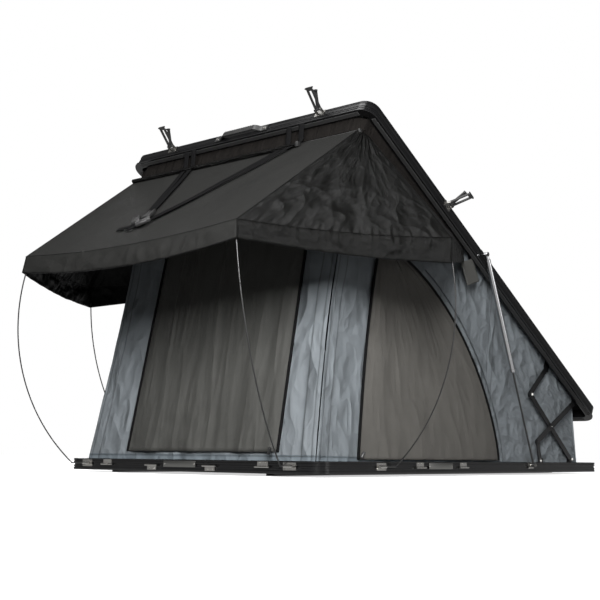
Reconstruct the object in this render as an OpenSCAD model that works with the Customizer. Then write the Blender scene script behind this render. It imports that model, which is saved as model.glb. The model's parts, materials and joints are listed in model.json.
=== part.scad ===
// Hard-shell roof top tent, shown open: a slim framed base, a framed lid raised by
// scissor links and gas struts, canvas walls, and an awning held up by bent rods.
// The front of the tent faces -Y, the lid lifts from the rear end at +Y.
// Z = 0 is the plane of the mounting rails' undersides.

/* [Frames] */
// Width of both frames over their outer faces
tent_w = 1290; // [1150:10:1450]
// Length of both frames over their outer faces
tent_l = 2150; // [2050:10:2300]
// Width of the frame profiles, inner face to outer face
rail_w = 34; // [30:1:40]
// Outer radius of the frame corners
corner_r = 58; // [50:1:80]
// Wall of the hollow frame profiles
rail_wall = 4; // [3:0.5:6]
// Height of the base profile
base_rail_h = 44; // [40:1:56]
// Height of the lid profile
lid_rail_h = 56; // [50:1:70]
// Depth of the fine grooves along the profiles
groove_d = 2.5; // [1.5:0.5:4]
// How far the lid profile's lower lip stands out of its face
lid_lip = 5; // [3:0.5:8]

/* [Base] */
// Height of the base profile's underside above the mounting rails' underside
rail_lift = 8; // [4:1:12]
// Thickness of the floor panel
floor_t = 12; // [8:1:16]
// Height of the mounting rails
mount_h = 24; // [20:1:28]
// Width of the mounting rails
mount_w = 40; // [34:1:50]
// Distance between the middles of the mounting rails
mount_gap = 800; // [700:10:900]
// How far the mounting rails stop short of the frame's outer faces
mount_inset = 40; // [36:1:80]
// Width of the slot in the mounting rails
slot_w = 11; // [9:0.5:13]
// Thickness of the mattress at its edge
mattress_t = 46; // [36:1:48]
// Crown of the mattress above its edge
mattress_crown = 4; // [2:1:6]
// Gap between the mattress and the floor's front edge, where the awning folds in
mattress_front_gap = 110; // [100:5:200]
// Gap between the mattress and the side and rear walls
mattress_gap = 25; // [20:5:60]

/* [Lid] */
// Opening angle of the lid
lid_angle = 30; // [27:0.5:32]
// How far the open lid's rear edge stands in front of the base's rear face
lid_setback = 13; // [5:1:30]
// Height of the open lid's rear lower edge
lid_rise = 249; // [235:1:265]
// Thickness of the lid panel
lid_panel_t = 12; // [8:1:16]
// Thickness of the seal under the lid profile
seal_t = 3; // [2:0.5:4]
// Width of the seal
seal_w = 16; // [10:1:20]
// Distance between the handle's end screws
handle_l = 256; // [200:4:320]
// Height of the handle strap's arch above the lid's face
handle_rise = 17; // [14:1:22]
// Width of the handle strap
handle_w = 24; // [18:1:28]

/* [Scissor links] */
// Width of the link bars
bar_w = 26; // [20:1:30]
// Thickness of the link bars
bar_t = 4; // [3:0.5:4.5]
// Gap between neighbouring bars
bar_gap = 0.5; // [0.3:0.1:0.8]
// Radius of the link pins
link_pin_r = 4; // [3:0.25:5]
// Length of the long arm between its end pivots
long_arm_l = 476; // [450:1:490]
// Distance along the long arm from its base pivot to the crossing
long_arm_cross = 246; // [240:1:252]
// Length of the cross arm between its end pivots
cross_arm_l = 456; // [440:1:470]
// Distance along the cross arm from its lid pivot to the crossing
cross_arm_cross = 294; // [288:1:299]
// Rear base pivot's distance from the base's rear face
rear_pivot_in = 202; // [197:1:208]
// Rear base pivot's height above the floor
rear_pivot_up = 30; // [26:1:33]
// Front base pivot's height above the floor
front_pivot_up = 22; // [20:1:26]
// Rear lid pivot's distance from the lid's rear face
lid_pivot_in = 154; // [150:1:158]
// Rear lid pivot's height above the lid's lower edge
lid_pivot_up = 20; // [16:1:24]
// Front lid pivot's height above the lid's lower edge
lid_link_up = 2; // [0:1:6]

/* [Struts] */
// Base stud's distance from the base's rear face
strut_base_in = 690; // [660:5:720]
// Base stud's height above the base profile's underside
strut_base_up = 32; // [26:1:36]
// Lid stud's distance from the lid's rear face
strut_lid_in = 1237; // [1200:5:1270]
// Lid stud's height above the lid's lower edge
strut_lid_up = 40; // [30:1:44]
// Radius of the strut's tube
strut_tube_r = 10.5; // [9:0.5:12]
// Length of the strut's tube, from its lid eye to its mouth
strut_tube_l = 515; // [480:5:520]
// Radius of the strut's rod
strut_rod_r = 4; // [3:0.5:6]
// Length of the strut's rod from its base eye
strut_rod_l = 500; // [470:5:510]

/* [Latches] */
// Front latches' distance from the lid's side faces
latch_in = 245; // [165:5:345]
// Side latches' distance from the closed lid's front face
latch_side_in = 595; // [500:5:640]
// Radius of the latch pins
latch_pin_r = 2.5; // [2:0.25:3]
// Length of the latch levers
lever_l = 92; // [88:1:105]
// Length of the latch hooks down to the claw
hook_l = 69; // [66:0.5:71]
// How far the open levers point up from the lid profile's face
lever_tilt = 20; // [10:1:30]
// How far the open hooks point up from the lid profile's face
hook_tilt = 47; // [40:1:60]
// Radius of the keepers' bars
keeper_bar_r = 3.5; // [3:0.25:4]
// Distance of the front strikers from the middle
striker_x = 150; // [120:5:200]
// Distance of the rear side strikers from the front face
striker_side_in = 900; // [820:5:1000]

/* [Canvas] */
// Thickness of the canvas solids
canvas_t = 3; // [2:0.5:4]
// Gap between the canvas and the frames' inner faces at the front
wall_front_gap = 20; // [14:1:40]
// Foot of the rear wall from the base's rear face
wall_rear_in = 115; // [110:1:150]
// Head of the rear wall from the lid's rear face
wall_rear_head_in = 190; // [170:5:240]
// Outward bulge of the walls
wall_bulge = 10; // [4:1:16]
// Depth of the walls' upright folds
fold_d = 5; // [2:0.5:7]
// Number of upright folds across a wall
fold_n = 7; // [4:1:10]
// How far the front door's middle stands right of the tent's
door_middle = 30; // [0:5:60]
// Half width of the front door at its foot
door_half_w = 385; // [300:5:450]
// Half width of the front door at its head
door_head_half_w = 365; // [280:5:420]
// Front foot of the side doors from the base's front face
side_door_in = 290; // [240:5:340]
// Foot width of the side doors
side_door_w = 990; // [860:10:1050]
// Height of the side doors
side_door_h = 960; // [800:10:1000]
// How far the side doors' front edge leans to the rear
side_door_lean = 200; // [120:5:240]

/* [Awning] */
// Awning's upper corners' distance from the lid's side faces
awning_head_in = 53; // [45:1:105]
// Drop of the awning's batten below the lid's lower edge
awning_head_drop = 78; // [60:2:95]
// Awning's front corners' distance from the base's side faces
awning_front_in = 95; // [65:5:165]
// Reach of the awning's front corners ahead of the base's front face
awning_reach = 313; // [250:5:360]
// Height of the awning's front corners
awning_front_z = 816; // [740:4:880]
// How far the awning's side corners stand out of the base's side faces
awning_side_out = 303; // [250:5:340]
// Distance of the awning's side corners from the base's front face
awning_side_in = 335; // [280:5:400]
// Height of the awning's side corners
awning_side_z = 812; // [760:4:860]
// Distance along the lid from its front face to the awning's rear ends
awning_side_l = 830; // [740:10:900]
// Height of the hem strip that hangs from the awning's edge
hem_h = 62; // [50:2:90]
// Sag of the awning between its corners
awning_sag = 24; // [10:2:40]
// Radius of the awning's batten
batten_r = 5; // [4:0.5:7]
// Width of the closing straps
strap_w = 25; // [20:1:30]

/* [Awning rods] */
// Radius of the awning rods
rod_r = 2.5; // [2:0.25:3.5]
// Front rod sockets' distance from the base's side faces
rod_socket_side = 125; // [95:5:165]
// Side rod sockets' distance from the base's front face
rod_socket_in = 347; // [320:5:380]
// Length of the front right rod's crank
crank_front_right = 34; // [30:1:60]
// Length of the front left rod's crank
crank_front_left = 88; // [60:1:100]
// Length of the side rods' cranks
crank_side = 76; // [50:1:90]
// How far the rods bow away from the straight
rod_sag = 100; // [60:5:130]

/* [Hidden] */
$fn = 48;

// Colours
frame_black = "#1c1d1e";
steel = "#b9b7b2";
chrome = "#d8d9da";
plastic_black = "#101010";
foam_grey = "#77797a";
panel_grey = "#9a9c9e";
canvas_blue = "#5d6872";
canvas_dark = "#4a4844";
awning_grey = "#3b3b38";
webbing_black = "#141414";

// Gaps between pieces that don't touch, and round pins in their bores
clearance = 0.3;
pin_clearance = 0.05;

// Places of the frames
half_w = tent_w / 2;
rod_socket_x = half_w - rod_socket_side;
awning_head_half_w = half_w - awning_head_in;
awning_front_half_w = half_w - awning_front_in;
latch_x = half_w - latch_in;
half_l = tent_l / 2;
inner_x = half_w - rail_w;
base_top = rail_lift + base_rail_h;
floor_top = mount_h + floor_t;
lid_rear_y = half_l - lid_setback;
lid_closed_z = base_top + seal_t + clearance;
ceiling = lid_rail_h - lid_panel_t;
panel_r = corner_r - rail_w + 4;

// A lid point, counted from the lid's rear lower edge, in the open and the closed tent
function on_lid(p) = [
    p.x,
    lid_rear_y + p.y * cos(lid_angle) + p.z * sin(lid_angle),
    lid_rise - p.y * sin(lid_angle) + p.z * cos(lid_angle)
];
function lid_yz(p) = [
    lid_rear_y + p.x * cos(lid_angle) + p.y * sin(lid_angle),
    lid_rise - p.x * sin(lid_angle) + p.y * cos(lid_angle)
];
function closed_yz(p) = [half_l + p.x, lid_closed_z + p.y];

// Lid coordinates of a point of the closed tent and of the open tent
function from_closed(q) = [q.x - half_l, q.y - lid_closed_z];
function from_open(q) = let (d = q - [lid_rear_y, lid_rise])
    [d.x * cos(lid_angle) - d.y * sin(lid_angle), d.x * sin(lid_angle) + d.y * cos(lid_angle)];

// Point at distance ra from a and rb from b, on the given side of the line a to b
function meet(a, ra, b, rb, side) = let (
    d = b - a,
    l = norm(d),
    x = (ra * ra - rb * rb + l * l) / (2 * l),
    h = sqrt(max(0, ra * ra - x * x))
) a + d / l * x + side * h / l * [-d.y, d.x];

// Point of height h that is as far from p as from q
function level_between(p, q, h) = let (m = (p + q) / 2, d = q - p)
    [m.x - (h - m.y) * d.y / d.x, h];

// Pivots of the scissor links in the side view, open and folded flat.
// The two short links' outer pivots are where each link keeps its length in both poses.
rear_pivot = [half_l - rear_pivot_in, floor_top + rear_pivot_up];
lid_pivot_local = [-lid_pivot_in, lid_pivot_up];
lid_pivot = lid_yz(lid_pivot_local);
crossing = meet(rear_pivot, long_arm_cross, lid_pivot, cross_arm_cross, 1);
arm_end = rear_pivot + (crossing - rear_pivot) * long_arm_l / long_arm_cross;
cross_end = lid_pivot + (crossing - lid_pivot) * cross_arm_l / cross_arm_cross;
lid_pivot_flat = closed_yz(lid_pivot_local);
cross_flat = meet(rear_pivot, long_arm_cross, lid_pivot_flat, cross_arm_cross, 1);
arm_end_flat = rear_pivot + (cross_flat - rear_pivot) * long_arm_l / long_arm_cross;
cross_end_flat = lid_pivot_flat + (cross_flat - lid_pivot_flat) * cross_arm_l / cross_arm_cross;
front_pivot = level_between(cross_end, cross_end_flat, floor_top + front_pivot_up);
link_pivot_local = level_between(from_open(arm_end), from_closed(arm_end_flat), lid_link_up);
link_pivot = lid_yz(link_pivot_local);

// Planes of the link bars, from the frames' inner faces inwards
bar_step = bar_t + bar_gap;
lug_t = 3;
lug_x = inner_x - clearance - lug_t;
lower_link_x = lug_x - bar_step;
cross_arm_x = lower_link_x - bar_step;
long_arm_x = cross_arm_x - bar_step;
upper_link_x = long_arm_x - bar_step;
inner_plate_x = upper_link_x - bar_gap - lug_t;
lug_w = 42;
lug_rim = 12;
pin_head_r = link_pin_r + 3;
pin_head_t = 2.5;

// Strut axis
strut_x = half_w + strut_tube_r + 3;
strut_base = [half_l - strut_base_in, rail_lift + strut_base_up];
strut_lid = lid_yz([-strut_lid_in, strut_lid_up]);
strut_dir = strut_lid - strut_base;
strut_l = norm(strut_dir);
strut_turn = atan2(strut_dir.y, strut_dir.x);
eye_r = strut_tube_r - 1.5;
eye_t = 16;
stud_r = 4;

// Canvas faces
wall_x = inner_plate_x - clearance - 1;
wall_front_y = -half_l + rail_w + wall_front_gap;
wall_foot_z = floor_top + clearance;
head_local_z = ceiling - clearance - canvas_t * sin(lid_angle);
wall_front_head_y = -tent_l + rail_w + 12;
wall_front_head = lid_yz([wall_front_head_y, head_local_z]);
wall_rear_y = half_l - wall_rear_in;
wall_rear_head = lid_yz([-wall_rear_head_in, head_local_z]);
wall_step = canvas_t + 1;
side_foot_front = [wall_front_y + wall_step, wall_foot_z];
side_foot_rear = [wall_rear_y - wall_step, wall_foot_z];
side_head_front = lid_yz([wall_front_head_y + wall_step, head_local_z]);
side_head_rear = lid_yz([-wall_rear_head_in - wall_step, head_local_z]);

// Cells of the front wall; the front door covers the middle ones
wall_cols = 28;
wall_rows = 8;
door_cols = 18;
door_rows = 6;
door_foot_v = 0.035;
door_head_v = 0.9;

// Awning corners, on the right-hand side
lid_front = lid_yz([-tent_l, 0]);
awning_t = canvas_t * 0.7;
header_up = 6;
batten = [lid_front.x + 10, lid_front.y - awning_head_drop];
awning_head = [awning_head_half_w, batten.x - batten_r - awning_t - clearance, batten.y];
awning_front = [awning_front_half_w, -half_l - awning_reach, awning_front_z];
awning_side = [half_w + awning_side_out, -half_l + awning_side_in, awning_side_z];
awning_end = on_lid([inner_x - 8, -tent_l + awning_side_l, -10]);
awning_neck = on_lid([inner_x - 8, -tent_l + 90, -52]);

// Handle strap: thickness, length beyond each screw, and length of the rise to the grip
handle_t = 5;
handle_end = 12;
handle_bend = 36;

// Latch places: [x, y] of the lid face in lid plan, and the turn of the outward face from the front
lid_mid_y = -half_l;
latch_z = 40;
latch_out = 18;
latch_ear_gap = 26;
lever_in = 2;
LATCHES = [
    ["front_left", [-latch_x, -tent_l + lid_lip], 0],
    ["front_right", [latch_x, -tent_l + lid_lip], 0],
    ["left", [-half_w + lid_lip, -tent_l + latch_side_in], -90],
    ["right", [half_w - lid_lip, -tent_l + latch_side_in], 90]
];
keeper_w = 48;
keeper_plate_t = 2.5;
keeper_out = keeper_plate_t + keeper_bar_r + 0.5;
keeper_bar_z = rail_lift + 23;

// Rod sockets on the base's faces, and the rods' tips under the awning's corners
rod_socket_out = 9;
rod_socket_l = 38;
rod_socket_z = rail_lift + 26;
rod_knob_r = rod_r + 0.6;
tip_drop = hem_h + awning_t + rod_knob_r + 1;
front_tip_out = half_l + awning_front.y;
side_tip_out = half_w - awning_side.x;
side_tip_along = awning_side.y + half_l - rod_socket_in;

// Share of the awning's top panel above its fold, and of its wings ahead of their side corners
fold_share = 0.86;
panel_cols = 20;
panel_rows = 10;
wing_cols = 20;
wing_rows = 8;
wing_fold_share = 0.8;
side_share = 0.6;

// Mattress: inset of the flat middle of its crown
mattress_crown_in = 120;

// Strut plates: length along the rail and thickness
strut_plate_l = 44;
strut_plate_t = 3;

// Straps: rows of the top panel that they cover, and where across the panel they meet
strap_rows = 8;
strap_meet = 0.44;

// Frame profiles: outward across, height upwards

// Points up a face at w, with grooves [height, width, depth] cut into it
function grooved(w, grooves) = [
    for (g = grooves)
        for (p = [[0, 0], [g[2], g[2] / 2], [g[2], g[1] - g[2] / 2], [0, g[1]]])
            [w - p.x, g[0] + p.y]
];

module base_profile() {
    difference() {
        polygon(concat(
            [[0, 0], [rail_w - 2, 0], [rail_w, 2]],
            grooved(rail_w, [
                [base_rail_h * 0.2, 4, groove_d],
                [base_rail_h * 0.42, 10, groove_d * 1.6],
                [base_rail_h * 0.76, 4, groove_d]
            ]),
            [[rail_w, base_rail_h - 2], [rail_w - 2, base_rail_h], [0, base_rail_h]]
        ));
        translate([rail_wall, rail_wall])
            square([rail_w - 2 * rail_wall - groove_d * 1.6, base_rail_h - 2 * rail_wall]);
    }
}

module lid_profile() {
    face = rail_w - lid_lip;
    difference() {
        polygon(concat(
            [[0, 0], [rail_w - 1, 0], [rail_w, 1], [rail_w, 4], [face, lid_lip + 5]],
            grooved(face, [
                [lid_rail_h * 0.24, 4, groove_d],
                [lid_rail_h * 0.4, 4, groove_d],
                [lid_rail_h * 0.68, 4, groove_d],
                [lid_rail_h * 0.8, 3, groove_d * 0.8]
            ]),
            [[face, lid_rail_h - 5], [face - 5, lid_rail_h], [0, lid_rail_h]]
        ));
        translate([rail_wall, rail_wall])
            square([face - 2 * rail_wall - groove_d, lid_rail_h - 2 * rail_wall]);
    }
}

// A straight profile along X at the front of a frame; children are the profile
module rail_run(run) {
    translate([-run / 2, 0, 0])
        rotate([90, 0, 90])
            linear_extrude(run)
                mirror([1, 0])
                    children();
}

// A frame centred on the origin: rails by side, and its corners
module frame_rail(side) {
    turn = side == "front" ? 0 : side == "right" ? 90 : side == "rear" ? 180 : 270;
    reach = turn % 180 == 0 ? half_l : half_w;
    run = (turn % 180 == 0 ? tent_w : tent_l) - 2 * corner_r;
    rotate([0, 0, turn])
        translate([0, -reach + rail_w, 0])
            rail_run(run)
                children();
}

module frame_corners() {
    for (sx = [-1, 1])
        for (sy = [-1, 1])
            translate([sx * (half_w - corner_r), sy * (half_l - corner_r), 0])
                rotate([0, 0, sx > 0 ? (sy > 0 ? 0 : 270) : (sy > 0 ? 90 : 180)])
                    rotate_extrude(angle = 90)
                        translate([corner_r - rail_w, 0])
                            children();
}

// Places children given in lid coordinates onto the open lid
module open_lid() {
    translate([0, lid_rear_y, lid_rise])
        rotate([-lid_angle, 0, 0])
            children();
}

// Both sides of the tent from the right-hand one
module both_sides() {
    children();
    mirror([1, 0, 0])
        children();
}

module one_side(side) {
    mirror([side == "left" ? 1 : 0, 0, 0])
        children();
}

// A plate with round corners, exact arcs
module round_plate(w, l, t, r) {
    linear_extrude(t) {
        square([w - 2 * r, l], center = true);
        square([w, l - 2 * r], center = true);
        for (x = [-1, 1])
            for (y = [-1, 1])
                translate([x * (w / 2 - r), y * (l / 2 - r)])
                    circle(r);
    }
}

// Base

module base_rail(side) {
    color(frame_black)
        translate([0, 0, rail_lift])
            frame_rail(side)
                base_profile();
}

module base_corners() {
    color(frame_black)
        translate([0, 0, rail_lift])
            frame_corners()
                base_profile();
}

module floor_panel() {
    color(panel_grey)
        translate([0, 0, mount_h])
            round_plate(tent_w - 2 * rail_w, tent_l - 2 * rail_w, floor_t, panel_r);
}

// C-shaped rails under the floor, slot downwards
module mounting_rails() {
    wall = 4;
    color(frame_black)
        for (s = [-1, 1])
            translate([s * mount_gap / 2, half_l - mount_inset, 0])
                rotate([90, 0, 0])
                    linear_extrude(tent_l - 2 * mount_inset)
                        difference() {
                            translate([-mount_w / 2, 0])
                                square([mount_w, mount_h]);
                            translate([-slot_w / 2, -1])
                                square([slot_w, mount_h / 2]);
                            translate([-mount_w / 2 + wall, wall])
                                square([mount_w - 2 * wall, mount_h / 2 - wall]);
                        }
}

// Outline of the mattress at an inset, with round corners
function mattress_ring(inset, z) = let (
    w = wall_x - canvas_t - mattress_gap - inset,
    y0 = -half_l + rail_w + mattress_front_gap + inset,
    y1 = wall_rear_y - canvas_t - mattress_gap - inset,
    r = max(6, 40 - inset)
) [
    for (k = [0:3])
        for (i = [0:5])
            let (a = 90 * k + 18 * i, sx = k == 0 || k == 3 ? 1 : -1, sy = k < 2 ? 1 : -1)
                [
                    sx * (w - r) + r * cos(a),
                    (sy > 0 ? y1 - r : y0 + r) + r * sin(a),
                    z
                ]
];

module mattress() {
    z0 = floor_top + clearance;
    rings = [
        mattress_ring(10, z0),
        mattress_ring(3, z0 + mattress_t * 0.1),
        mattress_ring(0, z0 + mattress_t * 0.3),
        mattress_ring(2.5, z0 + mattress_t * 0.5),
        mattress_ring(0, z0 + mattress_t * 0.7),
        mattress_ring(3, z0 + mattress_t * 0.9),
        mattress_ring(10, z0 + mattress_t),
        mattress_ring(30, z0 + mattress_t + mattress_crown * 0.5),
        mattress_ring(mattress_crown_in, z0 + mattress_t + mattress_crown)
    ];
    n = len(rings[0]);
    m = len(rings);
    color(foam_grey)
        polyhedron(
            points = [for (r = rings) each r],
            faces = concat(
                [[for (i = [0:n - 1]) i]],
                [
                    for (j = [0:m - 2])
                        for (i = [0:n - 1])
                            for (f = [
                                [j * n + i, (j + 1) * n + i, j * n + (i + 1) % n],
                                [j * n + (i + 1) % n, (j + 1) * n + i, (j + 1) * n + (i + 1) % n]
                            ])
                                f
                ],
                [[for (i = [n - 1:-1:0]) (m - 1) * n + i]]
            )
        );
}

// A catch on the base's face at the local origin, facing -Y: a riveted plate and a bar.
// up = 1 has the plate above the bar.
module keeper(up) {
    arm_t = 3;
    bar_over = 8;
    rivet_up = base_top - arm_t - keeper_bar_z - 5;
    translate([0, 0, keeper_bar_z])
        mirror([0, 0, up > 0 ? 0 : 1]) {
            translate([-keeper_w / 2, -keeper_plate_t, 0])
                cube([keeper_w, keeper_plate_t, base_top - arm_t - keeper_bar_z]);
            for (s = [-1, 1])
                translate([s * keeper_w / 4, -keeper_plate_t, rivet_up])
                    rotate([90, 0, 0])
                        cylinder(r = 2.5, h = 0.8);
            for (s = [-1, 1])
                translate([s * (keeper_w - arm_t) / 2 - arm_t / 2, -keeper_out, -keeper_bar_r])
                    cube([arm_t, keeper_out, 2 * keeper_bar_r]);
            translate([-keeper_w / 2 - bar_over, -keeper_out, 0])
                rotate([0, 90, 0])
                    cylinder(r = keeper_bar_r, h = keeper_w + 2 * bar_over);
        }
}

module latch_keepers() {
    color(steel) {
        for (s = [-1, 1]) {
            translate([s * latch_x, -half_l, 0])
                keeper(1);
            translate([s * striker_x, -half_l, 0])
                keeper(-1);
            for (y = [latch_side_in, striker_side_in])
                translate([s * half_w, -half_l + y, 0])
                    rotate([0, 0, s * 90])
                        keeper(1);
        }
    }
}

// A knuckle on the base's face at the local origin, facing -Y, its bore along X
module rod_socket() {
    lug = 9;
    difference() {
        union() {
            translate([-rod_socket_l / 2 - lug, -3, rod_socket_z - 13])
                cube([rod_socket_l + 2 * lug, 3, 26]);
            for (s = [-1, 1])
                translate([s * (rod_socket_l + lug) / 2, -3, rod_socket_z - 7])
                    rotate([90, 0, 0])
                        cylinder(r = 3, h = 1.5);
            translate([-rod_socket_l / 2, -rod_socket_out, rod_socket_z - 4])
                cube([rod_socket_l, rod_socket_out, 8]);
            translate([-rod_socket_l / 2, -rod_socket_out, rod_socket_z])
                rotate([0, 90, 0])
                    cylinder(r = rod_r + 3, h = rod_socket_l);
        }
        translate([-rod_socket_l / 2 - 1, -rod_socket_out, rod_socket_z])
            rotate([0, 90, 0])
                cylinder(r = rod_r + pin_clearance, h = rod_socket_l + 2);
    }
}

module rod_sockets() {
    color(steel)
        for (s = [-1, 1]) {
            translate([s * rod_socket_x, -half_l, 0])
                rod_socket();
            translate([s * half_w, -half_l + rod_socket_in, 0])
                rotate([0, 0, s * 90])
                    rod_socket();
        }
}

// Plate with a stud for the strut's base eye
module strut_base_brackets() {
    color(steel)
        both_sides()
            translate([half_w, strut_base.x, strut_base.y]) {
                translate([0, -strut_plate_l / 2, -15])
                    cube([strut_plate_t, strut_plate_l, 26]);
                rotate([0, 90, 0])
                    cylinder(r = stud_r + 3, h = strut_x - half_w - eye_t / 2 - clearance);
                rotate([0, 90, 0])
                    cylinder(r = stud_r, h = strut_x - half_w + eye_t / 2 + 4);
            }
}

// Lug on the frame's inner face for the lower link, and an upright angle for the long arm
module link_base_brackets() {
    color(steel)
        both_sides() {
            translate([lug_x, front_pivot.x - lug_w / 2, floor_top])
                cube([lug_t, lug_w, front_pivot_up + lug_rim]);
            link_pin(front_pivot, lower_link_x, lug_x - lower_link_x, link_pin_r);
            translate([inner_plate_x, rear_pivot.x - lug_w / 2, floor_top])
                cube([lug_t, lug_w, rear_pivot_up + lug_rim]);
            link_pin(rear_pivot, inner_plate_x, long_arm_x + bar_t - inner_plate_x, link_pin_r);
        }
}

// Lid

module lid_rail(side) {
    color(frame_black)
        open_lid()
            translate([0, lid_mid_y, 0])
                frame_rail(side)
                    lid_profile();
}

module lid_corners() {
    color(frame_black)
        open_lid()
            translate([0, lid_mid_y, 0])
                frame_corners()
                    lid_profile();
}

module lid_panel() {
    color(frame_black)
        open_lid()
            translate([0, lid_mid_y, ceiling])
                round_plate(tent_w - 2 * rail_w, tent_l - 2 * rail_w, lid_panel_t - 1, panel_r);
}

// Strips under the lid's straight profiles
module lid_seal() {
    color(plastic_black)
        open_lid()
            translate([0, lid_mid_y, -seal_t])
                for (side = ["front", "right", "rear", "left"])
                    frame_rail(side)
                        translate([(rail_w - seal_w) / 2, 0])
                            square([seal_w, seal_t]);
}

// Handle strap on the lid's front face: flat ends, an arch, and ribs across the grip

// A point of the handle's arch: t = 0 at the strap's end, 1 where the arch is at its full height
function arch_point(side, t, lift) = let (
    along = t * (2 * handle_end + handle_bend),
    rise = max(0, along - 2 * handle_end) / handle_bend
) [
    side * (handle_l / 2 + handle_end - along),
    handle_rise * (1 - cos(180 * rise)) / 2 + lift
];

module handle_strap() {
    steps = 12;
    ribs = 13;
    rib_w = 6;
    rib_h = 1.5;
    pitch = (handle_l - 2 * (handle_bend + handle_end)) / ribs;
    top = handle_rise + handle_t;
    color(plastic_black)
        open_lid()
            translate([0, -tent_l + lid_lip, lid_rail_h / 2 - handle_w / 2])
                linear_extrude(handle_w)
                    mirror([0, 1])
                        polygon(concat(
                            [for (i = [0:steps]) arch_point(-1, i / steps, handle_t)],
                            [
                                for (i = [0:ribs - 1])
                                    let (x = (i - (ribs - 1) / 2) * pitch)
                                        for (q = [[-1, 0], [-1, 1], [1, 1], [1, 0]])
                                            [x + q.x * rib_w / 2, top + q.y * rib_h]
                            ],
                            [for (i = [steps:-1:0]) arch_point(1, i / steps, handle_t)],
                            [for (i = [0:steps]) arch_point(1, i / steps, 0)],
                            [for (i = [steps:-1:0]) arch_point(-1, i / steps, 0)]
                        ));
}

module handle_ends() {
    color(steel)
        open_lid()
            for (s = [-1, 1])
                translate([s * handle_l / 2, -tent_l + lid_lip - handle_t, lid_rail_h / 2])
                    rotate([90, 0, 0])
                        cylinder(r = handle_end - 5, h = 3);
}

// Puts children, given in a latch's own frame, onto the open lid: -Y outwards, Z up the face
module at_latch(latch) {
    open_lid()
        translate([latch[1].x, latch[1].y, 0])
            rotate([0, 0, latch[2]])
                children();
}

module latch_plates() {
    ear_t = 3;
    color(steel)
        for (latch = LATCHES)
            at_latch(latch)
                difference() {
                    union() {
                        translate([-latch_ear_gap / 2 - 10, -2.5, latch_z - 17])
                            cube([latch_ear_gap + 20, 2.5, 28]);
                        for (s = [-1, 1])
                            translate([s * (latch_ear_gap / 2 + ear_t / 2) - ear_t / 2, 0, 0]) {
                                translate([0, -latch_out, latch_z - 6])
                                    cube([ear_t, latch_out, 12]);
                                translate([0, -latch_out, latch_z])
                                    rotate([0, 90, 0])
                                        cylinder(r = 6, h = ear_t);
                            }
                    }
                    translate([-latch_ear_gap, -latch_out, latch_z])
                        rotate([0, 90, 0])
                            cylinder(r = latch_pin_r + pin_clearance, h = 2 * latch_ear_gap);
                }
}

// Lever: two cheeks round the hook, a flared paddle at the end, and the pin
module latch_lever(name) {
    cheek_t = 4.5;
    cheek_h = 10;
    cheek_x = latch_ear_gap / 2 - clearance - cheek_t;
    paddle_x = cheek_x + cheek_t;
    color(plastic_black)
        for (latch = LATCHES)
            if (latch[0] == name)
                at_latch(latch)
                    translate([0, -latch_out, latch_z])
                        rotate([-lever_tilt, 0, 0]) {
                            for (s = [0, 1])
                                mirror([s, 0, 0])
                                    translate([cheek_x, 0, 0]) {
                                        translate([0, -hook_l - 12, -lever_in])
                                            cube([cheek_t, hook_l + 12, cheek_h]);
                                        rotate([0, 90, 0])
                                            cylinder(r = 5, h = cheek_t);
                                    }
                            translate([0, 0, -lever_in])
                                linear_extrude(cheek_h - 2)
                                    polygon([
                                        [-paddle_x, -hook_l - 9], [paddle_x, -hook_l - 9],
                                        [paddle_x - 1, -hook_l - 14], [paddle_x + 6, -lever_l + 2],
                                        [paddle_x + 3, -lever_l], [-paddle_x - 3, -lever_l],
                                        [-paddle_x - 6, -lever_l + 2], [1 - paddle_x, -hook_l - 14]
                                    ]);
                            translate([-latch_ear_gap / 2 - 5, 0, 0])
                                rotate([0, 90, 0])
                                    cylinder(r = latch_pin_r, h = latch_ear_gap + 10);
                        }
}

// Hook between the cheeks: a flat shank with a claw that turns in under the keeper's bar
module latch_hook(name) {
    shank_w = 12;
    shank_t = 6;
    claw_t = 7;
    color(plastic_black)
        for (latch = LATCHES)
            if (latch[0] == name)
                at_latch(latch)
                    translate([0, -latch_out, latch_z])
                        rotate([-hook_tilt, 0, 0])
                            difference() {
                                union() {
                                    translate([-shank_w / 2, -hook_l - claw_t, -2])
                                        cube([shank_w, hook_l + claw_t, shank_t]);
                                    translate([-shank_w / 2 - 1.5, -hook_l - claw_t, -9])
                                        cube([shank_w + 3, claw_t, 7 + shank_t]);
                                    translate([-shank_w / 2, 0, 0])
                                        rotate([0, 90, 0])
                                            cylinder(r = 5, h = shank_w);
                                }
                                translate([-shank_w, 0, 0])
                                    rotate([0, 90, 0])
                                        cylinder(r = latch_pin_r + pin_clearance, h = 2 * shank_w);
                            }
}

// Plate and boss on the lid's side face that the strut's upper eye meets
module strut_lid_brackets() {
    face_x = half_w - lid_lip;
    color(steel)
        both_sides()
            open_lid()
                translate([face_x, -strut_lid_in, strut_lid_up]) {
                    translate([0, -strut_plate_l / 2, -12])
                        cube([strut_plate_t, strut_plate_l, 22]);
                    rotate([0, 90, 0])
                        cylinder(r = stud_r + 3, h = strut_x - face_x - eye_t / 2 - clearance);
                }
}

// Lug beside the cross arm's end, and a hanger beside the upper link's end
module link_lid_brackets() {
    color(steel)
        both_sides()
            open_lid() {
                translate([lug_x, -lid_pivot_in - lug_w / 2, lid_pivot_up - lug_rim])
                    cube([inner_x - lug_x, lug_w, ceiling - lid_pivot_up + lug_rim]);
                link_pin(lid_pivot_local, lower_link_x, lug_x - lower_link_x, pin_head_r + 2);
                translate([inner_plate_x, link_pivot_local.x - lug_w / 2, lid_link_up - lug_rim])
                    cube([lug_t, lug_w, ceiling - lid_link_up + lug_rim]);
            }
}

// Scissor links, right-hand side; each bar lies in its own plane

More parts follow.
